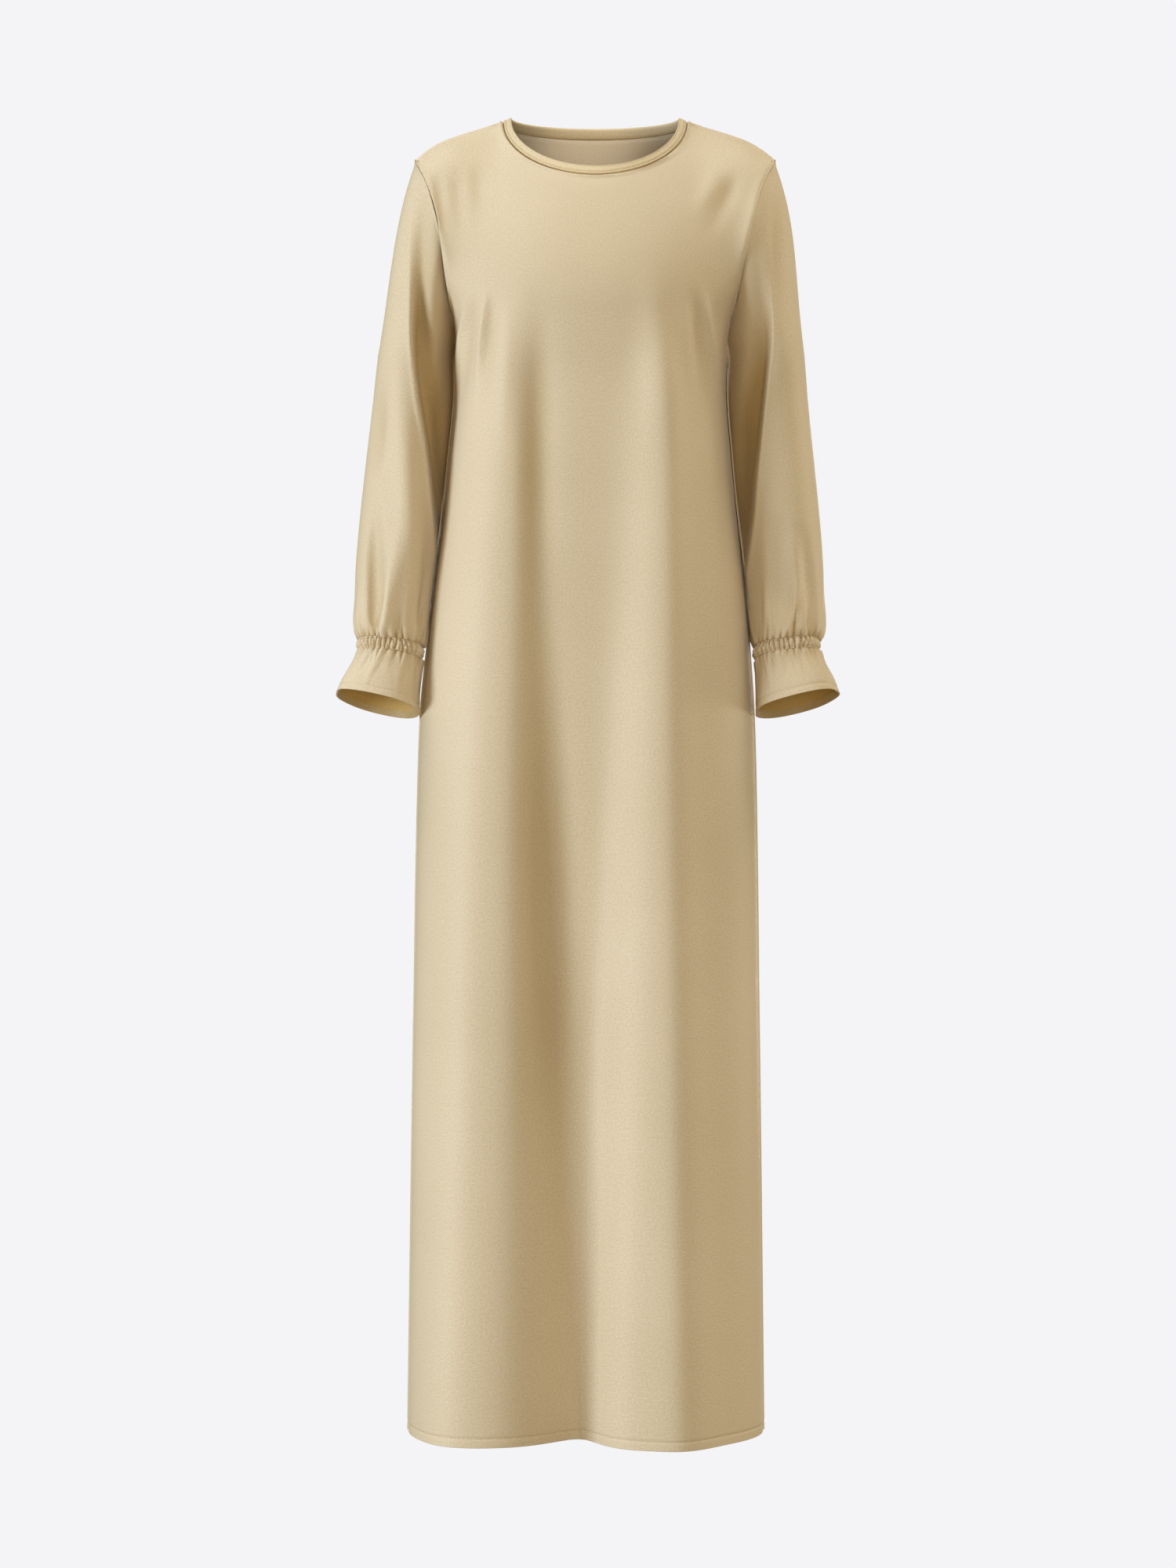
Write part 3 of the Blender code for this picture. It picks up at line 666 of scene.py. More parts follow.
def soften(points, weight):
    """Points move towards the mean of their neighbours, by a weight for each point. Edges stay."""
    inner = weight[1:-1, 1:-1, None] / 2
    for _ in range(SOFTEN_TIMES):
        around = points[:-2, 1:-1] + points[2:, 1:-1] + points[1:-1, :-2] + points[1:-1, 2:]
        points[1:-1, 1:-1] += (around / 4 - points[1:-1, 1:-1]) * inner
    return points


def grid_normals(points):
    """Outward directions at the points of a grid whose columns run left to right from outside."""
    along = np.gradient(points, axis=1)
    down = np.gradient(points, axis=0)
    normals = np.cross(down, along)
    return normals / np.linalg.norm(normals, axis=2, keepdims=True)


CREASE_STEPS = 18
# painted shade at the bottom of a crease, full at this depth
CREASE_PAINTED_SHADE = 0.45
CREASE_PAINTED_SHADE_DEPTH = 0.008


def crease_height(crease, x, z):
    """A crease's height at places x, z. It runs on a curve and is highest at its peak share."""
    best = np.full(x.shape, 1e9)
    share = np.zeros(x.shape)
    start, bend, end = np.reshape(crease[:6], (3, 2))
    t = np.linspace(0, 1, CREASE_STEPS + 1)[:, None]
    path = (1 - t) ** 2 * start + 2 * t * (1 - t) * bend + t * t * end
    for step in range(CREASE_STEPS):
        here, run = path[step], path[step + 1] - path[step]
        along = ((x - here[0]) * run[0] + (z - here[1]) * run[1]) / (run @ run)
        along = np.clip(along, 0, 1)
        gap = np.hypot(x - here[0] - along * run[0], z - here[1] - along * run[1])
        share = np.where(gap < best, (step + along) / CREASE_STEPS, share)
        best = np.minimum(best, gap)
    rise = smooth(share / crease.peak) * smooth((1 - share) / (1 - crease.peak))
    return crease.height * rise * bell(best, crease.width)


def creased(name, x, z):
    """The heights of all the creases of one piece of cloth."""
    return sum(crease_height(crease, x, z) for crease in CREASES[name])


def crease_shade(height):
    """Painted shade at the bottom of a crease, deeper where the crease is deeper."""
    return CREASE_PAINTED_SHADE * np.clip(-height / CREASE_PAINTED_SHADE_DEPTH, 0, 1)


# %% [markdown]
# ## The creases
# From each armpit short drag lines run down and in, and below the shoulders the cloth dips in
# soft valleys. On the sleeves, folds run down into the gathers. The hidden sides get similar
# ones.

# %% Creases
CREASE_FIELDS = "x_start z_start x_bend z_bend x_end z_end height width peak"
CREASES = {}
CREASES["front"] = rows(
    CREASE_FIELDS,
    (-0.052, -0.17, -0.054, -0.34, -0.05, -0.7, -0.0085, 0.0165, 0.45),
    (-0.05, -0.42, -0.042, -0.8, -0.03, -1.25, -0.011, 0.023, 0.5),
    (-0.1261, -0.19, -0.1368, -0.248, -0.14, -0.32, 0.0046, 0.0036, 0.4),
    (-0.1055, -0.186, -0.11, -0.235, -0.1211, -0.325, 0.0046, 0.0038, 0.4),
    (-0.1175, -0.19, -0.1275, -0.245, -0.132, -0.315, -0.0034, 0.0055, 0.4),
    (-0.097, -0.186, -0.102, -0.24, -0.111, -0.335, -0.0034, 0.008, 0.4),
    (-0.082, -0.2, -0.085, -0.26, -0.088, -0.38, 0.0022, 0.009, 0.5),
    (0.1155, -0.182, 0.124, -0.235, 0.1375, -0.318, 0.0046, 0.0042, 0.4),
    (0.106, -0.182, 0.113, -0.24, 0.127, -0.345, -0.004, 0.007, 0.4),
    (0.064, -0.15, 0.07, -0.24, 0.076, -0.38, 0.0042, 0.017, 0.55),
    (0.093, -0.186, 0.099, -0.24, 0.112, -0.35, 0.002, 0.007, 0.4),
    (-0.16, -0.054, -0.155, -0.1, -0.146, -0.165, -0.003, 0.007, 0.35),
    (-0.141, -0.05, -0.136, -0.095, -0.132, -0.15, -0.0024, 0.0075, 0.35),
    (-0.118, -0.046, -0.114, -0.09, -0.112, -0.14, -0.0024, 0.0085, 0.35),
    (0.156, -0.056, 0.14, -0.095, 0.118, -0.145, -0.0036, 0.009, 0.4),
    (0.138, -0.05, 0.126, -0.085, 0.1, -0.125, 0.0018, 0.009, 0.4),
)
CREASES["back"] = rows(
    CREASE_FIELDS,
    (-0.12, -0.195, -0.128, -0.25, -0.138, -0.33, 0.003, 0.0055, 0.35),
    (-0.108, -0.19, -0.114, -0.26, -0.124, -0.35, -0.0032, 0.0075, 0.4),
    (0.118, -0.19, 0.126, -0.25, 0.138, -0.34, 0.003, 0.0055, 0.35),
    (0.104, -0.19, 0.112, -0.255, 0.124, -0.37, -0.0034, 0.008, 0.4),
    (0.13, -0.06, 0.116, -0.105, 0.09, -0.15, -0.0026, 0.01, 0.45),
    (-0.136, -0.06, -0.124, -0.105, -0.1, -0.145, -0.0024, 0.01, 0.45),
)
CREASES["sleeve_right"] = rows(
    CREASE_FIELDS,
    (-0.168, -0.147, -0.164, -0.23, -0.158, -0.32, 0.003, 0.006, 0.5),
    (-0.196, -0.23, -0.19, -0.36, -0.185, -0.545, 0.0095, 0.013, 0.62),
    (-0.216, -0.27, -0.22, -0.33, -0.224, -0.4, -0.0045, 0.0085, 0.5),
    (-0.224, -0.39, -0.2225, -0.48, -0.2185, -0.566, -0.008, 0.01, 0.85),
    (-0.206, -0.462, -0.212, -0.51, -0.216, -0.562, 0.007, 0.0052, 0.85),
    (-0.174, -0.455, -0.1815, -0.5, -0.1845, -0.552, 0.004, 0.0042, 0.6),
    (-0.166, -0.45, -0.175, -0.5, -0.178, -0.552, -0.005, 0.0065, 0.6),
    (-0.193, -0.5, -0.196, -0.525, -0.1975, -0.562, -0.0042, 0.0045, 0.85),
    (-0.233, -0.505, -0.2325, -0.53, -0.23, -0.562, -0.0036, 0.0042, 0.85),
)
CREASES["sleeve_left"] = rows(
    CREASE_FIELDS,
    (0.1978, -0.068, 0.192, -0.14, 0.1887, -0.24, -0.0045, 0.007, 0.45),
    (0.215, -0.44, 0.206, -0.48, 0.209, -0.562, -0.006, 0.008, 0.85),
    (0.223, -0.49, 0.215, -0.515, 0.211, -0.562, -0.005, 0.0048, 0.85),
    (0.218, -0.48, 0.21, -0.515, 0.2055, -0.562, 0.0036, 0.0042, 0.85),
    (0.235, -0.48, 0.23, -0.52, 0.2255, -0.562, -0.005, 0.005, 0.85),
    (0.183, -0.515, 0.185, -0.535, 0.1865, -0.562, -0.004, 0.0045, 0.85),
    (0.196, -0.52, 0.1965, -0.535, 0.1985, -0.562, -0.004, 0.004, 0.85),
)
CREASES["sleeve_right_behind"] = rows(
    CREASE_FIELDS,
    (-0.22, -0.3, -0.214, -0.38, -0.218, -0.47, -0.005, 0.009, 0.5),
    (-0.21, -0.46, -0.208, -0.51, -0.212, -0.562, -0.007, 0.0065, 0.85),
    (-0.19, -0.47, -0.194, -0.515, -0.196, -0.562, -0.005, 0.006, 0.85),
    (-0.226, -0.49, -0.224, -0.52, -0.225, -0.562, -0.004, 0.0045, 0.85),
)
CREASES["sleeve_left_behind"] = rows(
    CREASE_FIELDS,
    (0.214, -0.29, 0.22, -0.38, 0.216, -0.48, -0.005, 0.009, 0.5),
    (0.216, -0.47, 0.212, -0.51, 0.213, -0.562, -0.007, 0.0065, 0.85),
    (0.196, -0.48, 0.197, -0.515, 0.199, -0.562, -0.005, 0.006, 0.85),
    (0.23, -0.48, 0.227, -0.52, 0.226, -0.562, -0.004, 0.005, 0.85),
)

# %% [markdown]
# ## Seams and hems
# A pressed seam shows as a narrow groove with the cloth puffed up on both sides, and painted shade
# darkens the groove. A hem is the same sheet folded back inside, so the grid runs on round the edge
# and up again.

# %% Seams and hems
SEAM_GROOVE = 0.0022
SEAM_GROOVE_WIDTH = 0.0013
SEAM_PUFF = 0.0017
SEAM_PUFF_AWAY = 0.0028
SEAM_PUFF_WIDTH = 0.0016
STITCH_GROOVE = 0.0006
STITCH_GROOVE_WIDTH = 0.001
HEM_LAYER = 0.0017
HEM_ROUND = 0.5


def seam_relief(away, puff=1.0):
    """Relief of the cloth beside a seam, at distances away from it."""
    groove = SEAM_GROOVE * bell(away, SEAM_GROOVE_WIDTH)
    ridge = SEAM_PUFF * bell(away - SEAM_PUFF_AWAY, SEAM_PUFF_WIDTH)
    return puff * ridge - groove


def seam_shade(away):
    """Painted shade beside a seam, from 0 to 1, darkest in its groove."""
    return bell(away, SEAM_GROOVE_WIDTH)


def stitch_groove(away):
    return -STITCH_GROOVE * bell(away, STITCH_GROOVE_WIDTH)


def hemmed(name, points, normals, heights, depth):
    """Points with a hem of some depth folded back inside, and the stitches that hold it."""
    count = int((heights < depth).sum())
    stitches = stitch_row(f"{name}_hem_stitches", points[-1 - count], normals[-1 - count])
    edge = points[-1] - normals[-1] * (HEM_LAYER / 2)
    edge = edge + (points[-1] - points[-2]) * HEM_ROUND
    inner = points[-count:] - normals[-count:] * HEM_LAYER
    return np.concatenate([points, edge[None], inner[::-1]]), stitches


# %% [markdown]
# ## Front and back
# Each is one panel from the neckline to the hem. Rows and columns are closer together at the
# seams and the hem, where the relief is finer.

# %% Front and back
COLUMNS = 112
SIDE_COLUMNS = 34
SIDE_FROM, SIDE_TO = 0.05, 0.27
YOKE_ROWS = 66
CREASED_TO_Z = -0.38
CREASED_STEP = 0.004
SKIRT_STEP = 0.011
HEM_DEPTH = 0.0095
HEM_HEIGHTS = np.array([0, 0.0008, 0.002, 0.004, 0.0065, 0.0085, 0.0095, 0.0102, 0.011, 0.0125])
EDGE_RUNS = np.array([0, 0.0004, 0.001, 0.0018, 0.0028, 0.004, 0.0056])
NECK_STRIPS = np.array([0, 0.05, 0.11, 0.18])
ARMPIT_SOFT = 0.035


def merged(*parts):
    return np.unique(np.round(np.concatenate(parts), 7))


def panel_grid(panel):
    """The points of a panel before its hem is folded, and its painted shade."""
    side = np.linspace(SIDE_FROM, SIDE_TO, SIDE_COLUMNS)
    runs = merged(np.linspace(0, 1, COLUMNS + 1), side, 1 - side, EDGE_RUNS, 1 - EDGE_RUNS)
    even = np.linspace(0, SHOULDER_STRIPS + ARMHOLE_STRIPS, YOKE_ROWS + 1)
    strips = merged(even, NECK_STRIPS)[:-1]
    creased_part = np.arange(ARMPIT_Z, CREASED_TO_Z, -CREASED_STEP)
    down = np.arange(CREASED_TO_Z, -LENGTH + HEM_HEIGHTS[-1] + SKIRT_STEP / 2, -SKIRT_STEP)
    heights = np.concatenate([creased_part, down, HEM_HEIGHTS[::-1] - LENGTH])
    points = np.concatenate([yoke_points(panel, strips, runs), skirt_points(panel, heights, runs)])
    above_hem = points[:, :, 2] + LENGTH
    weight = bell(points[:, :, 2] - ARMPIT_Z, ARMPIT_SOFT)
    points = soften(points, weight)
    if panel is FRONT:
        points = points[:, ::-1]
    normals = grid_normals(points)
    x, z = points[:, :, 0], points[:, :, 2]
    height = creased(panel.name, x, z)
    # painted shade in the troughs of creases and beside the seams
    hollow = crease_shade(height)
    for seam in (points[:, :1], points[:, -1:], points[:1]):
        away = np.linalg.norm(points - seam, axis=2)
        height = height + seam_relief(away)
        hollow = hollow + seam_shade(away)
    height = height + stitch_groove(above_hem - HEM_DEPTH)
    return points + normals * height[:, :, None], hollow


for panel in (FRONT, BACK):
    points, hollow = panel_grid(panel)
    normals = grid_normals(points)
    points, stitches = hemmed(panel.name, points, normals, HEM_HEIGHTS, HEM_DEPTH)
    cloth = make_cloth(panel.name, points, hollow, closed=False)

# %% [markdown]
# ## The sleeves
# A sleeve is a tube set into the armhole. Its sections are rounded too, and wide above the wrist,
# where the elastic draws them in. Turns round it are in degrees, from the outer side over the
# front. Long folds wind from the front of the armhole to the inner side.

# %% Sleeve sizes
RING_FIELDS = "z x half y depth roll pitch tuck"
SLEEVE = rows(
    RING_FIELDS,
    (-0.25, 0.1873, 0.0367, -0.002, 0.056, 0, 0, 0.022),
    (-0.3, 0.1884, 0.0403, 0.003, 0.056, 0, 0, 0.025),
    (-0.36, 0.1934, 0.0419, 0.004, 0.056, 0, 1, 0.027),
    (-0.42, 0.1993, 0.0421, 0.001, 0.056, 0, 2, 0.027),
    (-0.47, 0.2041, 0.0411, -0.002, 0.055, 1, 3, 0.026),
    (-0.503, 0.2062, 0.0397, -0.006, 0.0525, 2, 4, 0.024),
    (-0.53, 0.2077, 0.038, -0.016, 0.048, 4, 6, 0.014),
    (-0.545, 0.2072, 0.0352, -0.026, 0.039, 6, 9, 0.004),
    (-0.5525, 0.206, 0.0318, -0.03, 0.031, 7, 10, 0),
)
CASING = rows(
    RING_FIELDS,
    SLEEVE[-1],
    (-0.559, 0.206, 0.0316, -0.031, 0.0308, 7, 10, 0),
    (-0.5655, 0.2062, 0.0318, -0.032, 0.031, 7.5, 10, 0),
)
FRILL = rows(
    RING_FIELDS,
    CASING[-1],
    (-0.578, 0.209, 0.0352, -0.033, 0.0345, 9, 11, 0),
    (-0.596, 0.214, 0.0405, -0.035, 0.04, 11, 12, 0),
    (-0.607, 0.2164, 0.043, -0.036, 0.0425, 12, 13, 0),
    (-0.616, 0.218, 0.0446, -0.037, 0.044, 13, 13, 0),
)
TUCK_TURN = 222
CAP_TUCK_POWER = 1.6
REST_GAP = 0.0022
REST_ROUND = 0.005
SLEEVE_ROUND = 2.15
ARMPIT_TUCK = 0.01
ARMPIT_TUCK_Z = -0.23
ARMPIT_TUCK_REACH = 0.018
ARMPIT_TUCK_TURN = 210
CAP_BULGE = 0.0065
CAP_CURVE_TOP = 4 / 27  # the highest value of share * (1 - share) ** 2

SLEEVE_FOLD_FIELDS = "turn_top turn_end start end height reach"
SLEEVE_FOLDS = {}
SLEEVE_FOLDS["right"] = rows(
    SLEEVE_FOLD_FIELDS,
    (115, 190, -0.11, -0.5, -0.004, 24),
    (70, 188, -0.11, -0.5, 0.003, 13),
    (58, 70, -0.4, -0.56, -0.006, 12),
    (95, 84, -0.43, -0.56, 0.0045, 11),
    (140, 126, -0.44, -0.56, -0.0045, 12),
    (215, 228, -0.42, -0.56, -0.005, 14),
    (280, 272, -0.38, -0.56, -0.005, 16),
    (330, 322, -0.43, -0.56, -0.004, 13),
    (250, 205, -0.17, -0.45, -0.006, 20),
)
SLEEVE_FOLDS["left"] = rows(
    SLEEVE_FOLD_FIELDS,
    (97, 192, -0.1, -0.51, -0.004, 24),
    (62, 167, -0.1, -0.51, 0.003, 13),
    (62, 52, -0.43, -0.56, -0.005, 12),
    (100, 112, -0.42, -0.56, -0.0055, 13),
    (80, 84, -0.44, -0.56, 0.004, 10),
    (215, 230, -0.43, -0.56, -0.005, 14),
    (285, 276, -0.39, -0.56, -0.005, 16),
    (330, 326, -0.43, -0.56, -0.004, 13),
    (256, 210, -0.18, -0.46, -0.006, 20),
)


def sleeve_fold_height(side, turn, z):
    """How far a sleeve's folds stand out, at places round it: below zero in a trough."""
    height = np.zeros(np.broadcast(turn, z).shape)
    for fold in SLEEVE_FOLDS[side]:
        run = np.clip((fold.start - z) / (fold.start - fold.end), 0.0, 1.0)
        centre = mix(fold.turn_top, fold.turn_end, run**FOLD_GROWTH)
        away = (np.degrees(turn) - centre + 180) % 360 - 180
        height += fold.height * np.sin(math.pi * run) * bell(away, fold.reach)
    return height


def ring_points(table, turn, z):
    """Points of tilted sections at heights z, and the directions out from their middles."""
    across = boxed(np.cos(turn), SLEEVE_ROUND) * read_table(table, "half", z)
    ahead = boxed(np.sin(turn), SLEEVE_ROUND) * read_table(table, "depth", z)
    roll, pitch = (np.radians(read_table(table, column, z)) for column in ("roll", "pitch"))
    lift = across * np.sin(roll) + ahead * np.sin(pitch)
    out = np.stack([across * np.cos(roll), -ahead * np.cos(pitch), lift], axis=-1)
    x, y, z = np.broadcast_arrays(read_table(table, "x", z), read_table(table, "y", z), z)
    middle = np.stack([x, y, z], axis=-1)[:, : out.shape[1]]
    return middle + out, out / np.linalg.norm(out, axis=2, keepdims=True)


def beside_body(points):
    """Points moved out where the body would be in their way, so that a sleeve lies beside it."""
    x, y, z = np.moveaxis(points, 2, 0)
    depth = np.where(y < 0, read_table(BODY, "front", z), read_table(BODY, "back", z))
    least = read_table(BODY, "half", z) * roundness(np.minimum(np.abs(y) / depth, 1.0)) + REST_GAP
    spare = x - least
    return np.stack([least + (spare + np.hypot(spare, REST_ROUND)) / 2, y, z], axis=-1)


def facing(turn, degrees):
    """How far a place round the sleeve faces a direction, from 0 to 1."""
    return np.maximum(np.cos(turn - math.radians(degrees)), 0.0) ** 2


def tucked(table, points, turn, z):
    """The inner corner at the back drawn in behind the body."""
    drawn = read_table(table, "tuck", z) * facing(turn, TUCK_TURN)
    points = points.copy()
    points[:, :, 0] -= drawn
    return beside_body(points)


# %% [markdown]
# ## The lapped fold of each sleeve
# The front of a hanging sleeve laps a little over its inner side: from a crisp edge the cloth
# falls back, rises again in a soft roll, and goes on round behind. The cloth that falls back is
# darkened with painted shade. The edge wanders from the front of the armhole to the inner side
# above the wrist, and its place is given at a few heights.

# %% Lapped folds
LAPS = {}
LAPS["right"] = rows(
    "z x depth",
    (-0.082, -0.1875, 0),
    (-0.13, -0.188, 0.008),
    (-0.177, -0.188, 0.014),
    (-0.2355, -0.1865, 0.021),
    (-0.2925, -0.1807, 0.024),
    (-0.3495, -0.1718, 0.024),
    (-0.4228, -0.1636, 0.022),
    (-0.4675, -0.1608, 0.016),
    (-0.525, -0.16, 0),
)
LAPS["left"] = rows(
    "z x depth",
    (-0.075, 0.1955, 0),
    (-0.127, 0.1915, 0.003),
    (-0.187, 0.1897, 0.006),
    (-0.2355, 0.1902, 0.013),
    (-0.2835, 0.1853, 0.019),
    (-0.3332, 0.18, 0.022),
    (-0.3772, 0.1751, 0.022),
    (-0.4228, 0.1716, 0.019),
    (-0.5059, 0.1608, 0.006),
    (-0.53, 0.16, 0),
)
LAP_WALL_TOP = 0.017
LAP_WALL = 0.005
LAP_WALL_FROM, LAP_WALL_FADE = -0.15, 0.13
LAP_LIP = 0.0012
LAP_LIP_WIDTH = 0.003
ROLL_AWAY = 0.028
ROLL_WIDTH = 0.012
ROLL_SHARE = 0.62
ROLL_FADE_Z = -0.21
ROLL_FADE = 0.12
ROLL_LOST = 0.6
LAP_LIP_FULL = 0.006
CREASE_TURN = 0.35
# painted shade: how far the cloth falls back behind the lap for full shade
LAP_PAINTED_SHADE_FALL = 0.018


def lapped(side, points, normals):
    """Points of a sleeve behind its lapped fold moved back, and the painted shade on the cloth
    there.
    """
    table, z = LAPS[side], points[:, :, 2]
    depth = read_table(table, "depth", z) * (z < table[0].z) * (z > table[-1].z)
    past = np.abs(read_table(table, "x", z)) - np.abs(points[:, :, 0])
    kept = ROLL_SHARE * (1 - ROLL_LOST * smooth((ROLL_FADE_Z - z) / ROLL_FADE))
    roll = kept * bell(past - ROLL_AWAY, ROLL_WIDTH)
    wall = mix(LAP_WALL_TOP, LAP_WALL, smooth((LAP_WALL_FROM - z) / LAP_WALL_FADE))
    fall = depth * smooth(past / wall) * (1 - roll)
    lip = LAP_LIP * smooth(depth / LAP_LIP_FULL) * bell(past, LAP_LIP_WIDTH)
    ahead = smooth(-normals[:, :, 1] / CREASE_TURN)
    points = points.copy()
    points[:, :, 1] += (fall - lip) * ahead
    # painted shade on the cloth that falls back behind the edge, where it faces ahead
    return points, np.clip(fall / LAP_PAINTED_SHADE_FALL, 0, 1) * ahead


# %% [markdown]
# ## Gathers
# Where the elastic draws the cloth in, it stands up in narrow ridges, which bundle into broader
# folds further off. They aren't even: their spacing and height wander a little, so the angle that
# counts them is warped with slow waves. Painted shade darkens the valleys between them.

# %% Gathers
GATHERS = 28
GATHER_HEIGHT = 0.0052
PLEATS = 11
PLEAT_HEIGHT = 0.0062
GATHER_RUN_UP = 0.018
PLEAT_RUN_UP = 0.058
GATHER_RUN_DOWN = 0.015
PLEAT_RUN_DOWN = 0.044
RUN_MEAN = 0.75
RUN_WAVES = ((0.25, 9, 1), (0.22, 17, 2))
GATHER_WARP = ((0.055, 3, 1), (0.03, 7, 2.1))
PLEAT_WARP = ((0.11, 2, 1), (0.07, 5, 3.1))
GATHER_SWELL = 0.28
PLEAT_SWELL = 0.35
GATHER_FADE = 1.2
PLEAT_FADE = 1.5
PLEAT_GIVES_WAY = 0.7
# painted shade in the valleys between the broad folds
PLEAT_PAINTED_SHADE = 0.3
ROLL_POWER = 0.7
TURN_COLUMNS = 10 * GATHERS


def rolls(count, turn):
    """Round rolls of cloth with sharp valleys between them, from 0 to 1."""
    return np.abs(np.sin(count / 2 * turn)) ** ROLL_POWER


def waves(turn, shift, *terms):
    """Slow waves round a wrist: each has a height, a count, and how much the shift moves it. The
    shift makes one wrist unlike the other."""
    return sum(height * np.sin(count * turn + move * shift) for height, count, move in terms)


def gathered(turn, shift, away, gather_run, pleat_run):
    """Relief of gathers and folds at a distance away from the elastic, and the painted shade in
    their valleys.
    """
    uneven = RUN_MEAN + waves(turn, shift, *RUN_WAVES)
    near = np.clip(1 - away / (gather_run * uneven), 0, 1) ** GATHER_FADE
    wide = np.clip(1 - away / (pleat_run * uneven), 0, 1) ** PLEAT_FADE
    swell = np.sin(5 * turn + 1.7 * shift) * np.sin(2 * turn + shift)
    gathers = rolls(GATHERS, turn + waves(turn, shift, *GATHER_WARP))
    gathers = gathers * (1 - GATHER_SWELL + GATHER_SWELL * swell)
    folds = rolls(PLEATS, turn + waves(turn, shift, *PLEAT_WARP) + shift)
    folds = folds * (1 - PLEAT_SWELL + waves(turn, shift, (PLEAT_SWELL, 3, 2.3)))
    # painted shade in the valleys of the gathers and of the broad folds
    hollow = near * (1 - gathers) ** 2 + PLEAT_PAINTED_SHADE * wide * (1 - folds) ** 3
    folds = folds * (1 - PLEAT_GIVES_WAY * near)
    return GATHER_HEIGHT * near * gathers + PLEAT_HEIGHT * wide * folds, hollow


# %% [markdown]
# ## Making the sleeves
# The top row of a sleeve is the armhole itself, read from the same sizes as the panels' edges.
# The rows below it blend into the first whole section and bow out a little over the shoulder.

# %% Sleeves
CAP_ROWS = 46
CAP_SHARES = (0.003, 0.007, 0.012, 0.018)
CAP_SOFT = 0.03
SLEEVE_PUFF = 0.7
WRIST_ROWS = (0.0018, 0.0011, 0.0005)
WRIST_TURN_IN = 0.0022
WRIST_LEFT = 0.25
WRIST_CREASE_FADE = 0.012
ARM_STEP = 0.0027
SHIFTS = {"left": 0.9, "right": 2.3}


def turned_in(away):
    """Share of the gathers' relief that is left where their edge turns in to meet the casing."""
    return mix(WRIST_LEFT, 1, smooth(away / WRIST_TURN_IN))


def armhole_loop(turn):
    """The armhole of the wearer's left side, round from the shoulder tip over the front."""
    in_front = turn <= math.pi
    front_strip = SHOULDER_STRIPS + ARMHOLE_STRIPS * np.clip(turn / math.pi, 0, 1)
    back_strip = SHOULDER_STRIPS + ARMHOLE_STRIPS * np.clip(2 - turn / math.pi, 0, 1)
    front_x, front_z = edge_place(FRONT, front_strip)
    back_x, back_z = edge_place(BACK, back_strip)
    z = np.where(in_front, front_z, back_z)
    front_y, back_y = read_table(ARMHOLE, "front_y", z), read_table(ARMHOLE, "back_y", z)
    at_tip = (turn <= 0) | (turn >= 2 * math.pi)
    x = np.where(at_tip, SHOULDER_HALF, np.where(in_front, front_x, back_x))
    y = np.where(at_tip, 0.0, np.where(in_front, -front_y, back_y))
    return np.stack([x, y, np.where(at_tip, SHOULDER_TIP_Z, z)], axis=-1)


def on_side(points, side):
    """Points of a left arm put on either side, turned so that the cloth's outside faces out."""
    sign = 1 if side == "left" else -1
    moved = placed(sign * points[:, :, 0], points[:, :, 1], points[:, :, 2])
    moved = moved[:, ::-1] if side == "left" else moved
    moved[:, -1] = moved[:, 0]
    return moved


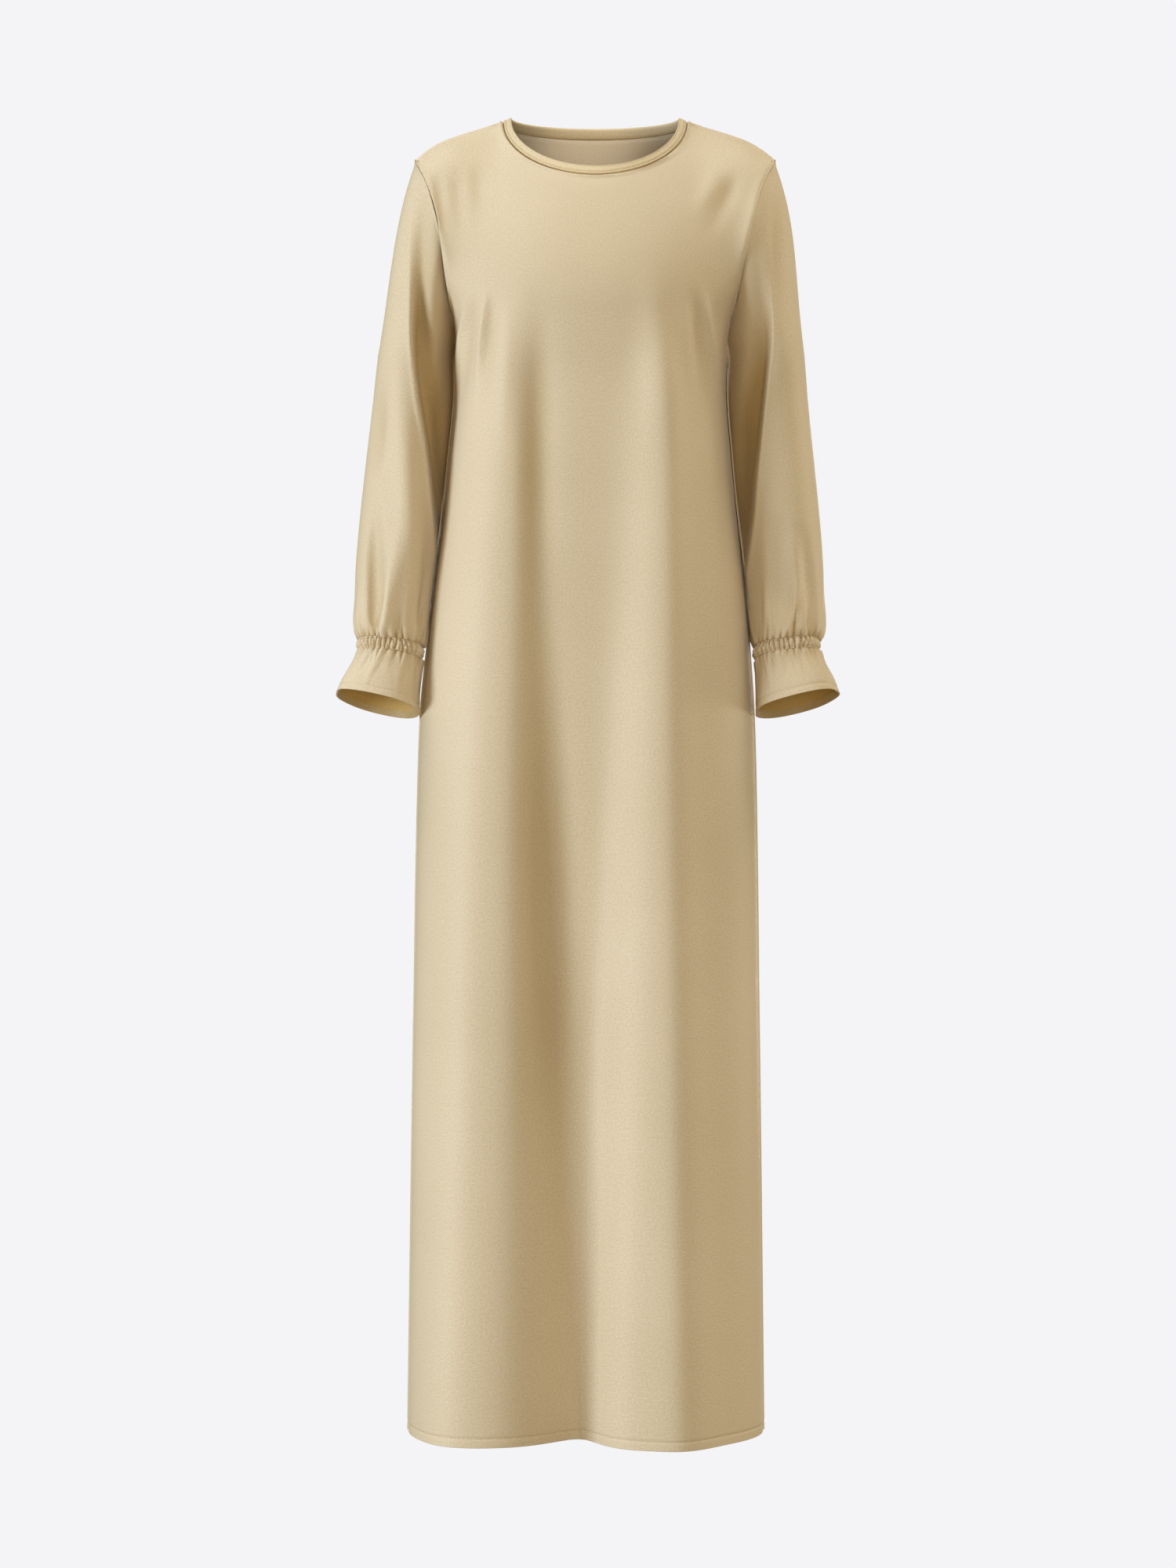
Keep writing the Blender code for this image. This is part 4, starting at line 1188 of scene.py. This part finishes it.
def sleeve_grid(side):
    """The points of a sleeve, from the armhole to the wrist, and its painted shade."""
    turn = np.linspace(0, 2 * math.pi, TURN_COLUMNS + 1)[None, :]
    top_z, wrist_z = SLEEVE[0].z, SLEEVE[-1].z
    start = armhole_loop(turn[0])[None]
    top = np.array([[top_z]])
    end, _ = ring_points(SLEEVE, turn, top)
    end = tucked(SLEEVE, end, turn, top)
    share = merged(np.linspace(0, 1, CAP_ROWS + 1), CAP_SHARES)[:-1, None, None]
    bow = CAP_BULGE * share * (1 - share) ** 2 / CAP_CURVE_TOP
    bow = bow * 0.5 * (1 + np.cos(turn))[:, :, None]
    outward = np.stack([np.cos(turn), -np.sin(turn), np.zeros_like(turn)], axis=-1)
    cap = mix(start, end, share)
    fold = sleeve_fold_height(side, turn, cap[:, :, 2])[:, :, None] * share
    cap = cap + outward * (bow + fold)
    late = (share - share**CAP_TUCK_POWER)[:, :, 0]
    cap[:, :, 0] += SLEEVE[0].tuck * facing(turn, TUCK_TURN) * late
    z = np.arange(top_z, wrist_z + WRIST_ROWS[0] + ARM_STEP / 2, -ARM_STEP)
    z = np.concatenate([z, [wrist_z + row for row in WRIST_ROWS], [wrist_z]])[:, None]
    arm, out = ring_points(SLEEVE, turn, z)
    arm = tucked(SLEEVE, arm + out * sleeve_fold_height(side, turn, z)[:, :, None], turn, z)
    points = np.concatenate([cap, arm])
    weight = bell(points[:, :, 2] - top_z, CAP_SOFT)
    points = soften(points, weight)
    near_armpit = bell(points[:, :, 2] - ARMPIT_TUCK_Z, ARMPIT_TUCK_REACH)
    points[:, :, 0] -= ARMPIT_TUCK * near_armpit * facing(turn, ARMPIT_TUCK_TURN)
    points = on_side(points, side)
    points, hollow = lapped(side, points, grid_normals(points))
    normals = grid_normals(points)
    counted = turn if side == "right" else turn[:, ::-1]
    away = points[:, :, 2] - points[-1:, :, 2]
    relief, painted_gather_shade = gathered(counted, SHIFTS[side], away, GATHER_RUN_UP, PLEAT_RUN_UP)
    relief = relief * turned_in(away)
    x, z = points[:, :, 0], points[:, :, 2]
    backward = normals[:, :, 1] / CREASE_TURN
    creases = creased(f"sleeve_{side}", x, z) * smooth(-backward)
    creases = creases + creased(f"sleeve_{side}_behind", x, z) * smooth(backward)
    relief = relief + creases * smooth(away / WRIST_CREASE_FADE)
    from_seam = np.linalg.norm(points - points[:1], axis=2)
    relief = relief + seam_relief(from_seam, SLEEVE_PUFF)
    points = points + normals * relief[:, :, None]
    points[:, -1] = points[:, 0]
    # painted shade behind the lap, in the gathers, in crease troughs and beside the armhole seam
    return points, hollow + painted_gather_shade + crease_shade(creases) + seam_shade(from_seam)


for side in ("left", "right"):
    points, hollow = sleeve_grid(side)
    cloth = make_cloth(f"sleeve_{side}", points, hollow)

# %% [markdown]
# ## The wrist casings
# The casing is a narrow tube over the elastic, shirred into the same ridges as the sleeve. Two
# rows of stitches press a shallow groove near its upper and its lower edge. Painted shade darkens
# the pits between its ridges and its grooves.

# %% Wrist casings
CASING_ROWS = 22
CASING_COLUMNS = 448
CASING_PUFF = 0.0008
CASING_RIDGES = 38
CASING_HEIGHT = 0.0044
CASING_FLAT = 0.35
CASING_ROUND = 0.6
CASING_STITCHES = (0.16, 0.84)
CASING_STITCH_WIDTH = 0.07
CASING_STITCH_DEPTH = 0.0007
CASING_SLANT = ((0.1, 4, 1), (0.06, 9, 2))
CASING_WARP = ((0.05, 3, 1), (0.02, 11, 1))
CASING_CROSSED = 0.55
CROSS_RIDGES = 33
CROSS_SLANT = 1.4
CROSS_LEVEL = 0.3
# painted shade in the casing's stitch grooves
CASING_STITCH_PAINTED_SHADE = 0.3


def tube_grid(side, table, z, relief_at, columns=TURN_COLUMNS):
    """A tube through sections, with the relief and the painted shade that relief_at gives round it.
    """
    turn = np.linspace(0, 2 * math.pi, columns + 1)[None, :]
    points, _ = ring_points(table, turn, z[:, None])
    points = on_side(beside_body(points), side)
    counted = turn if side == "right" else turn[:, ::-1]
    relief, hollow = relief_at(counted, z[:, None])
    points = points + grid_normals(points) * relief[:, :, None]
    points[:, -1] = points[:, 0]
    return points, hollow


def shirred(turn, down, shift):
    """Relief of shirred cloth: rolls that slant here and there, cut by others, with pits."""
    slant = waves(turn, shift, *CASING_SLANT)
    warped = turn + waves(turn, shift, *CASING_WARP)
    upright = rolls(CASING_RIDGES, warped + slant * (down - 0.5))
    across = rolls(CROSS_RIDGES, turn - CROSS_SLANT * slant * (down - CROSS_LEVEL) + shift)
    return upright * (1 - CASING_CROSSED + CASING_CROSSED * across)


for side in ("left", "right"):
    shift = SHIFTS[side]
    top, bottom = CASING[0].z, CASING[-1].z

    def casing_relief(turn, z):
        down = (top - z) / (top - bottom)
        puff = np.sin(math.pi * np.clip(down, 0, 1)) ** CASING_ROUND
        pressed = sum(bell(down - row, CASING_STITCH_WIDTH) for row in CASING_STITCHES)
        rolled = shirred(turn, down, shift)
        height = CASING_HEIGHT * rolled * mix(CASING_FLAT, 1, puff) + CASING_PUFF * puff
        # painted shade in the pits between the rolls and in the stitch grooves
        hollow = (1 - rolled) ** 3 + CASING_STITCH_PAINTED_SHADE * pressed
        return height - CASING_STITCH_DEPTH * pressed, hollow

    heights = np.linspace(top, bottom, CASING_ROWS + 1)
    points, hollow = tube_grid(side, CASING, heights, casing_relief, CASING_COLUMNS)
    cloth = make_cloth(f"wrist_casing_{side}", points, hollow)

# %% [markdown]
# ## The cuff frills
# Below the casing the cloth springs out again into a flared frill. Its gathers die away into a
# few soft waves, and its lower edge is a narrow hem, folded inside and stitched. Painted shade
# darkens the valleys of the gathers and the hem folded inside.

# %% Cuff frills
FRILL_WAVES = 5
FRILL_WAVE_HEIGHT = 0.001
FRILL_WARP = 0.8
CUFF_HEM = 0.0072
CUFF_HEIGHTS = np.array([0, 0.0007, 0.0018, 0.0035, 0.0055, 0.0066, 0.0072, 0.0078, 0.009])
FRILL_STEP = 0.0018
FRILL_THICKNESS = 0.0012

for side in ("left", "right"):
    shift = SHIFTS[side]
    top, bottom = FRILL[0].z, FRILL[-1].z

    def frill_relief(turn, z):
        waved = np.cos(FRILL_WAVES * turn + shift + FRILL_WARP * np.sin(2 * turn))
        down = (top - z) / (top - bottom)
        relief, painted_gather_shade = gathered(turn, shift, top - z, GATHER_RUN_DOWN, PLEAT_RUN_DOWN)
        swell = FRILL_WAVE_HEIGHT * (1 + waved) * smooth(down)
        # painted shade in the valleys of the frill's gathers
        return relief * turned_in(top - z) + swell, painted_gather_shade

    down = np.arange(top, bottom + CUFF_HEIGHTS[-1] + FRILL_STEP / 2, -FRILL_STEP)
    near_casing = [top - row for row in WRIST_ROWS[::-1][:2]]
    heights = np.concatenate([down[:1], near_casing, down[1:], bottom + CUFF_HEIGHTS[::-1]])
    points, hollow = tube_grid(side, FRILL, heights, frill_relief)
    normals = grid_normals(points)
    away = heights[:, None] - bottom - CUFF_HEM
    points = points + normals * stitch_groove(away)[:, :, None]
    points, stitches = hemmed(f"cuff_{side}", points, normals, CUFF_HEIGHTS, CUFF_HEM)
    points[:, -1] = points[:, 0]
    # the inside gets the dull reverse, partly painted shade, and the cut edge a painted highlight
    finishes = (crepe, crepe_reverse_and_painted_shade, crepe_painted_edge_highlight)
    cloth = make_cloth(f"cuff_frill_{side}", points, hollow, finishes, FRILL_THICKNESS)

# %% [markdown]
# ## The neck binding
# A bias strip wraps the neck edge: up the outside, over, and down inside. One row of stitches
# runs just above its lower edge. Painted shade darkens its lower edges, its stitch groove and its
# inside.

# %% Neck binding
# painted shade down the strip: full at its lower edges outside and inside, part in the stitch
# groove, a little all down the inside
BINDING_PROFILE = rows(
    "up out hollow",
    (-0.03, -0.0006, 1),
    (0.03, 0.0003, 0.9),
    (0.08, 0.0007, 0.1),
    (0.2, 0.0007, 0),
    (0.27, 0.0003, 0.6),
    (0.34, 0.0007, 0),
    (0.5, 0.0008, 0),
    (0.7, 0.0007, 0),
    (0.83, 0.0007, 0),
    (0.93, 0.0013, 0),
    (1, 0.0004, 0),
    (0.99, -0.0012, 0.1),
    (0.86, -0.002, 0.15),
    (0.6, -0.0024, 0.15),
    (0.3, -0.0024, 0.15),
    (0, -0.0022, 0.6),
    (-0.1, -0.0021, 1),
)
BINDING_STITCHES = 4
BINDING_THICKNESS = 0.0005
NECK_COLUMNS = 260


def neck_loop(line):
    """A neckline all round: from the wearer's right over the front, then over the back."""
    turn = np.linspace(0, math.pi, NECK_COLUMNS // 2 + 1)
    front = placed(*neck_place(line, turn[::-1], FRONT))
    back = placed(*neck_place(line, turn, BACK))
    return np.concatenate([front[:-1], back])


seam_loop, edge_loop = neck_loop(NECK_SEAM), neck_loop(NECK_EDGE)
along = np.gradient(seam_loop, axis=0)
along[0] = along[-1] = seam_loop[1] - seam_loop[-2]
up = edge_loop - seam_loop
outward = np.cross(along, up)
outward = outward / np.linalg.norm(outward, axis=1, keepdims=True)
around = BINDING_PROFILE[::-1]
points = np.stack([seam_loop + up * place.up + outward * place.out for place in around])
points[:, -1] = points[:, 0]
stitch_line = len(BINDING_PROFILE) - 1 - BINDING_STITCHES
stitches = stitch_row("binding_stitches", points[stitch_line], outward)
hollow = np.array([[place.hollow] * points.shape[1] for place in around])
binding = make_cloth("neck_binding", points, hollow, [binding_crepe], BINDING_THICKNESS, "binding")
